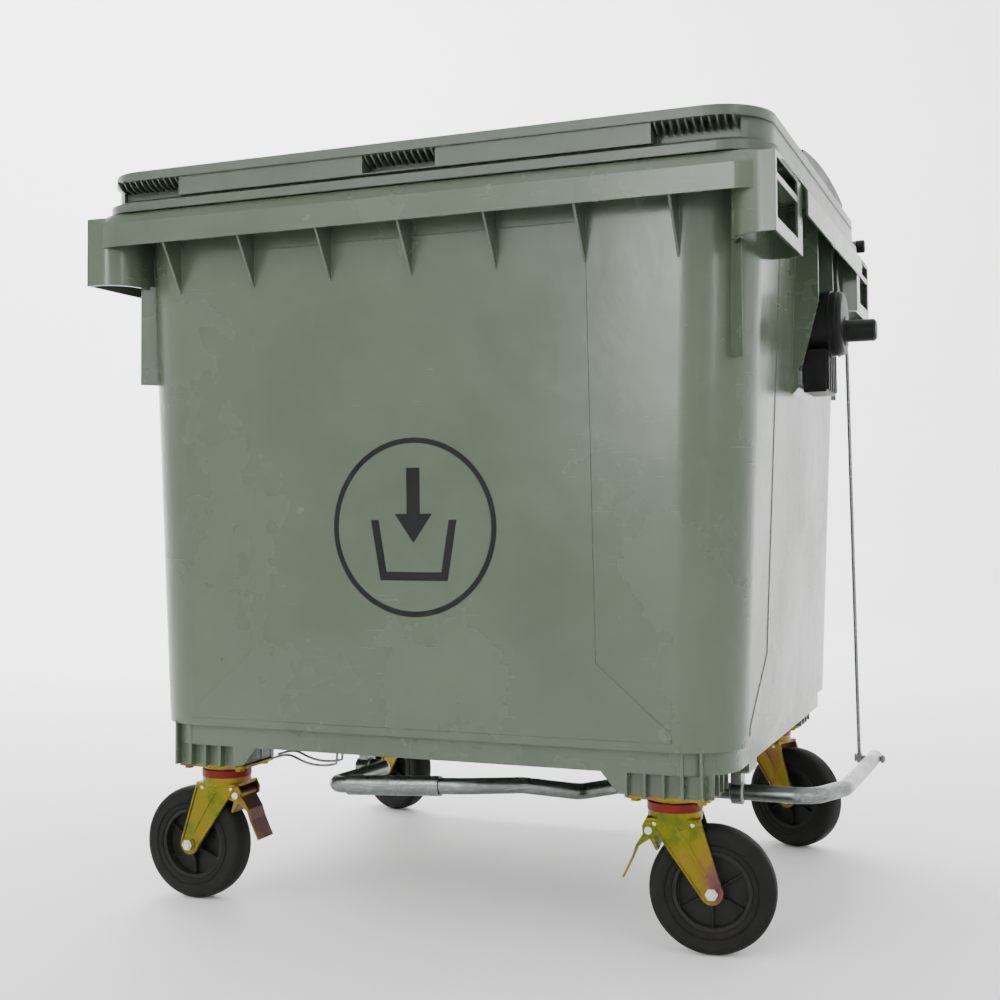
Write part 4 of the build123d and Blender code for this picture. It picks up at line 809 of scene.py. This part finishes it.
@dataclass
class Symbol:
    """Printed sign on the front wall: a ring round an arrow that drops into an open tray.

    Args:
        centre_z: Height of the ring's middle.
        radius: Outer radius of the ring.
        stroke: Line width.
    """

    centre_z: float = 0.668
    radius: float = 0.148
    stroke: float = 0.009
    film: float = 0.0004

    def build(self, shop: Workshop) -> None:
        """Lay the sign on the wall."""
        out = Vector((0, 1, 0))
        low = wall_hit("tub", Vector((0.01, -1, self.centre_z - 0.1)), out)
        high = wall_hit("tub", Vector((0.01, -1, self.centre_z + 0.1)), out)
        low.x = high.x = 0.0
        up = (high - low).normalized()
        normal = Vector((1, 0, 0)).cross(up)
        placed = axis_frame((low + high) / 2, normal, up)
        placed.translation += normal * 0.00005
        shape = Shape("front_sign")
        ring = [
            (self.radius - self.stroke, 0.0), (self.radius, 0.0),
            (self.radius, self.film), (self.radius - self.stroke, self.film),
        ]
        shape.lathe(ring, placed, 144)
        arrow = [
            (-0.012, 0.098), (0.012, 0.098), (0.012, 0.022), (0.034, 0.022),
            (0.0, -0.026), (-0.034, 0.022), (-0.012, 0.022),
        ]
        shape.plate(arrow, placed, self.film)
        tray = [
            (-0.078, 0.012), (-0.064, 0.012), (-0.050, -0.074),
            (0.050, -0.074), (0.064, 0.012), (0.078, 0.012),
            (0.061, -0.088), (-0.061, -0.088),
        ]
        shape.plate(tray, placed, self.film)
        shop.place(shape, "black_plastic", "container")


@dataclass
class TrunnionDressing:
    """Ring beads, collar and end button on one lifting trunnion.

    Args:
        side: 1 for the right one, -1 for the left one.
    """

    side: int

    def build(self, shop: Workshop) -> None:
        """Place the beads, the collar and the button."""
        name = "right" if self.side > 0 else "left"
        low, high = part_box(f"trunnion_{name}")
        tip = high.x if self.side > 0 else low.x
        mount = next(m for m in frame["record"]["mounts"] if m["name"] == f"trunnion_{name}")
        axis = Vector(mount["axis"])
        pin_z = mount["pos_m"][2]
        drum = Vector((self.side * 0.612, 0, pin_z + 0.014))
        beads = Shape(f"trunnion_beads_{name}")
        for reach in (0.0, 0.012):
            placed = axis_frame(drum + axis * reach, axis, Vector((0, 0, 1)))
            beads.lathe([(0.0570, 0.0), (0.0600, 0.001), (0.0600, 0.003), (0.0570, 0.004)], placed, 72)
        collar = axis_frame(Vector((self.side * 0.6378, 0, pin_z)), axis, Vector((0, 0, 1)))
        ring = [(0.0195, 0.0), (0.0275, 0.0), (0.0262, 0.0022), (0.0215, 0.0032), (0.0195, 0.0034)]
        beads.lathe(ring, collar, 56)
        button = axis_frame(Vector((tip - self.side * 0.0014, 0, pin_z)), axis, Vector((0, 0, 1)))
        cap = [(0.0, 0.0), (0.0122, 0.0), (0.0122, 0.0006), (0.0104, 0.0013), (0.0, 0.0013)]
        beads.lathe(cap, button, 40)
        shop.place(beads, "black_plastic", "container")


@dataclass
class UnderLinkage:
    """Thin sprung wires that run under the floor from the pedal's brackets to the left front corner."""

    wire_radius: float = 0.0022
    height: float = 0.252

    def build(self, shop: Workshop) -> None:
        """Place two bent wires, each with a turned-up end."""
        shape = Shape("under_linkage")
        low, _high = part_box("pedal_brackets")
        for y, rise in ((-0.345, 0.004), (-0.366, 0.0)):
            points = []
            for i in range(25):
                t = i / 24
                x = -0.335 + t * 0.13
                wave = self.height + rise + 0.007 * math.sin(t * 6.0)
                points.append(Vector((x, y + 0.006 * math.sin(t * 9.0), wave)))
            points.append(Vector((points[-1].x + 0.004, y, self.height + rise + 0.025)))
            shape.tube(points, self.wire_radius)
        log.info("the pedal brackets start at x %.3f", low.x)
        shop.place(shape, "rod_steel", "container")


@dataclass
class Studio:
    """Floor, lights and camera.

    Args:
        lens: Focal length, in millimetres.
        shift: Sideways and upward lens shift, as parts of the frame.
        eye: Camera place.
        yaw: Turn of the view to the left of +Y, in radians.
        pitch: Upward tilt, in radians.
        roll: Roll, in radians.
    """

    lens: float = 49.586
    shift: tuple[float, float] = (-0.0045, -0.0444)
    eye: tuple[float, float, float] = (0.9848, -2.5289, 0.6906)
    yaw: float = 0.3805
    pitch: float = 0.0415
    roll: float = -0.0067
    sensor: float = 36.0

    def camera(self) -> None:
        """Create the camera."""
        data = bpy.data.cameras.new("camera")
        data.sensor_width = self.sensor
        data.lens = self.lens
        data.shift_x, data.shift_y = self.shift
        data.clip_start, data.clip_end = 0.05, 60.0
        made = bpy.data.objects.new("camera", data)
        made.location = self.eye
        turn = Matrix.Rotation(self.yaw, 4, "Z") @ Matrix.Rotation(math.pi / 2 + self.pitch, 4, "X")
        made.rotation_euler = (turn @ Matrix.Rotation(self.roll, 4, "Z")).to_euler()
        bpy.context.scene.collection.objects.link(made)
        bpy.context.scene.camera = made

    def floor(self) -> None:
        """Pale floor that curves up into a backdrop behind and on both sides."""
        finish = StudioFloor("", (0.93, 0.93, 0.925), (0.95, 0.95, 0.945), (0.6, 0.7))
        shape = Shape("studio_floor")
        steps, reach, lift, bend = 96, 9.0, 10.0, 3.4
        rings = []
        rise = [(0.0, 0.0), (reach - bend, 0.0)]
        rise += [
            (reach - bend + bend * math.sin(a), bend - bend * math.cos(a))
            for a in (math.pi / 2 * i / 12 for i in range(1, 13))
        ]
        rise.append((reach, lift))
        for i in range(steps):
            turn = 2 * math.pi * i / steps
            rings.append([shape.mesh.verts.new((r * math.cos(turn), r * math.sin(turn), z)) for r, z in rise])
        for i, ring in enumerate(rings):
            after = rings[(i + 1) % steps]
            for j in range(len(rise) - 1):
                shape.mesh.faces.new((ring[j], after[j], after[j + 1], ring[j + 1]))
        made = shape.to_object()
        made.data.materials.append(finish.make())

    def light(
        self,
        name: str,
        place: Sequence[float],
        aim: Sequence[float],
        size: tuple[float, float],
        power: float,
    ) -> None:
        """Add one soft box.

        Args:
            name: Light name.
            place: Where it hangs.
            aim: What it points at.
            size: Width and height.
            power: Watts.
        """
        data = bpy.data.lights.new(name, "AREA")
        data.shape, data.size, data.size_y, data.energy = "RECTANGLE", *size, power
        made = bpy.data.objects.new(name, data)
        made.location = place
        made.rotation_euler = (Vector(aim) - Vector(place)).to_track_quat("-Z", "Y").to_euler()
        bpy.context.scene.collection.objects.link(made)

    def build(self) -> None:
        """Set up the whole studio."""
        self.floor()
        self.camera()
        self.light("key_box", (-2.6, -4.2, 3.4), (0, -0.5, 0.8), (2.6, 1.8), 60)
        self.light("sheen_box", (-0.45, -4.7, 1.7), (0.4, -0.5, 0.9), (0.8, 1.7), 60)
        self.light("fill_box", (3.6, -3.2, 2.2), (0.3, 0, 0.6), (0.8, 2.4), 26)
        self.light("top_box", (0.2, 0.4, 4.6), (0, 0, 0), (3.4, 3.4), 70)
        self.light("side_box", (4.2, 1.4, 2.4), (0.6, 0, 0.8), (1.0, 2.6), 8)
        self.light("back_box", (-2.0, 4.4, 3.0), (0, 0, 0.9), (2.4, 1.6), 45)
        self.light("backdrop_box", (-2.6, 2.4, 6.0), (-4.4, 8.0, 1.8), (3.4, 2.0), 1300)
        world = bpy.data.worlds.new("studio_world")
        world.use_nodes = True
        world.node_tree.nodes["Background"].inputs["Color"].default_value = (0.96, 0.98, 1.0, 1.0)
        world.node_tree.nodes["Background"].inputs["Strength"].default_value = 1.0
        bpy.context.scene.world = world


def main() -> None:
    """Build every piece in order."""
    logging.basicConfig(level=logging.INFO, format="%(name)s %(message)s")
    shop = Workshop()
    log.info("dressed %d CAD nodes", shop.dress_cad())
    for name in ("front_left", "front_right", "rear_left", "rear_right"):
        Wheel(name).build(shop)
        ForkDressing(name).build(shop)
    Symbol().build(shop)
    for side in (-1, 1):
        TrunnionDressing(side).build(shop)
    UnderLinkage().build(shop)
    Studio().build()


if __name__ == "__main__":
    main()
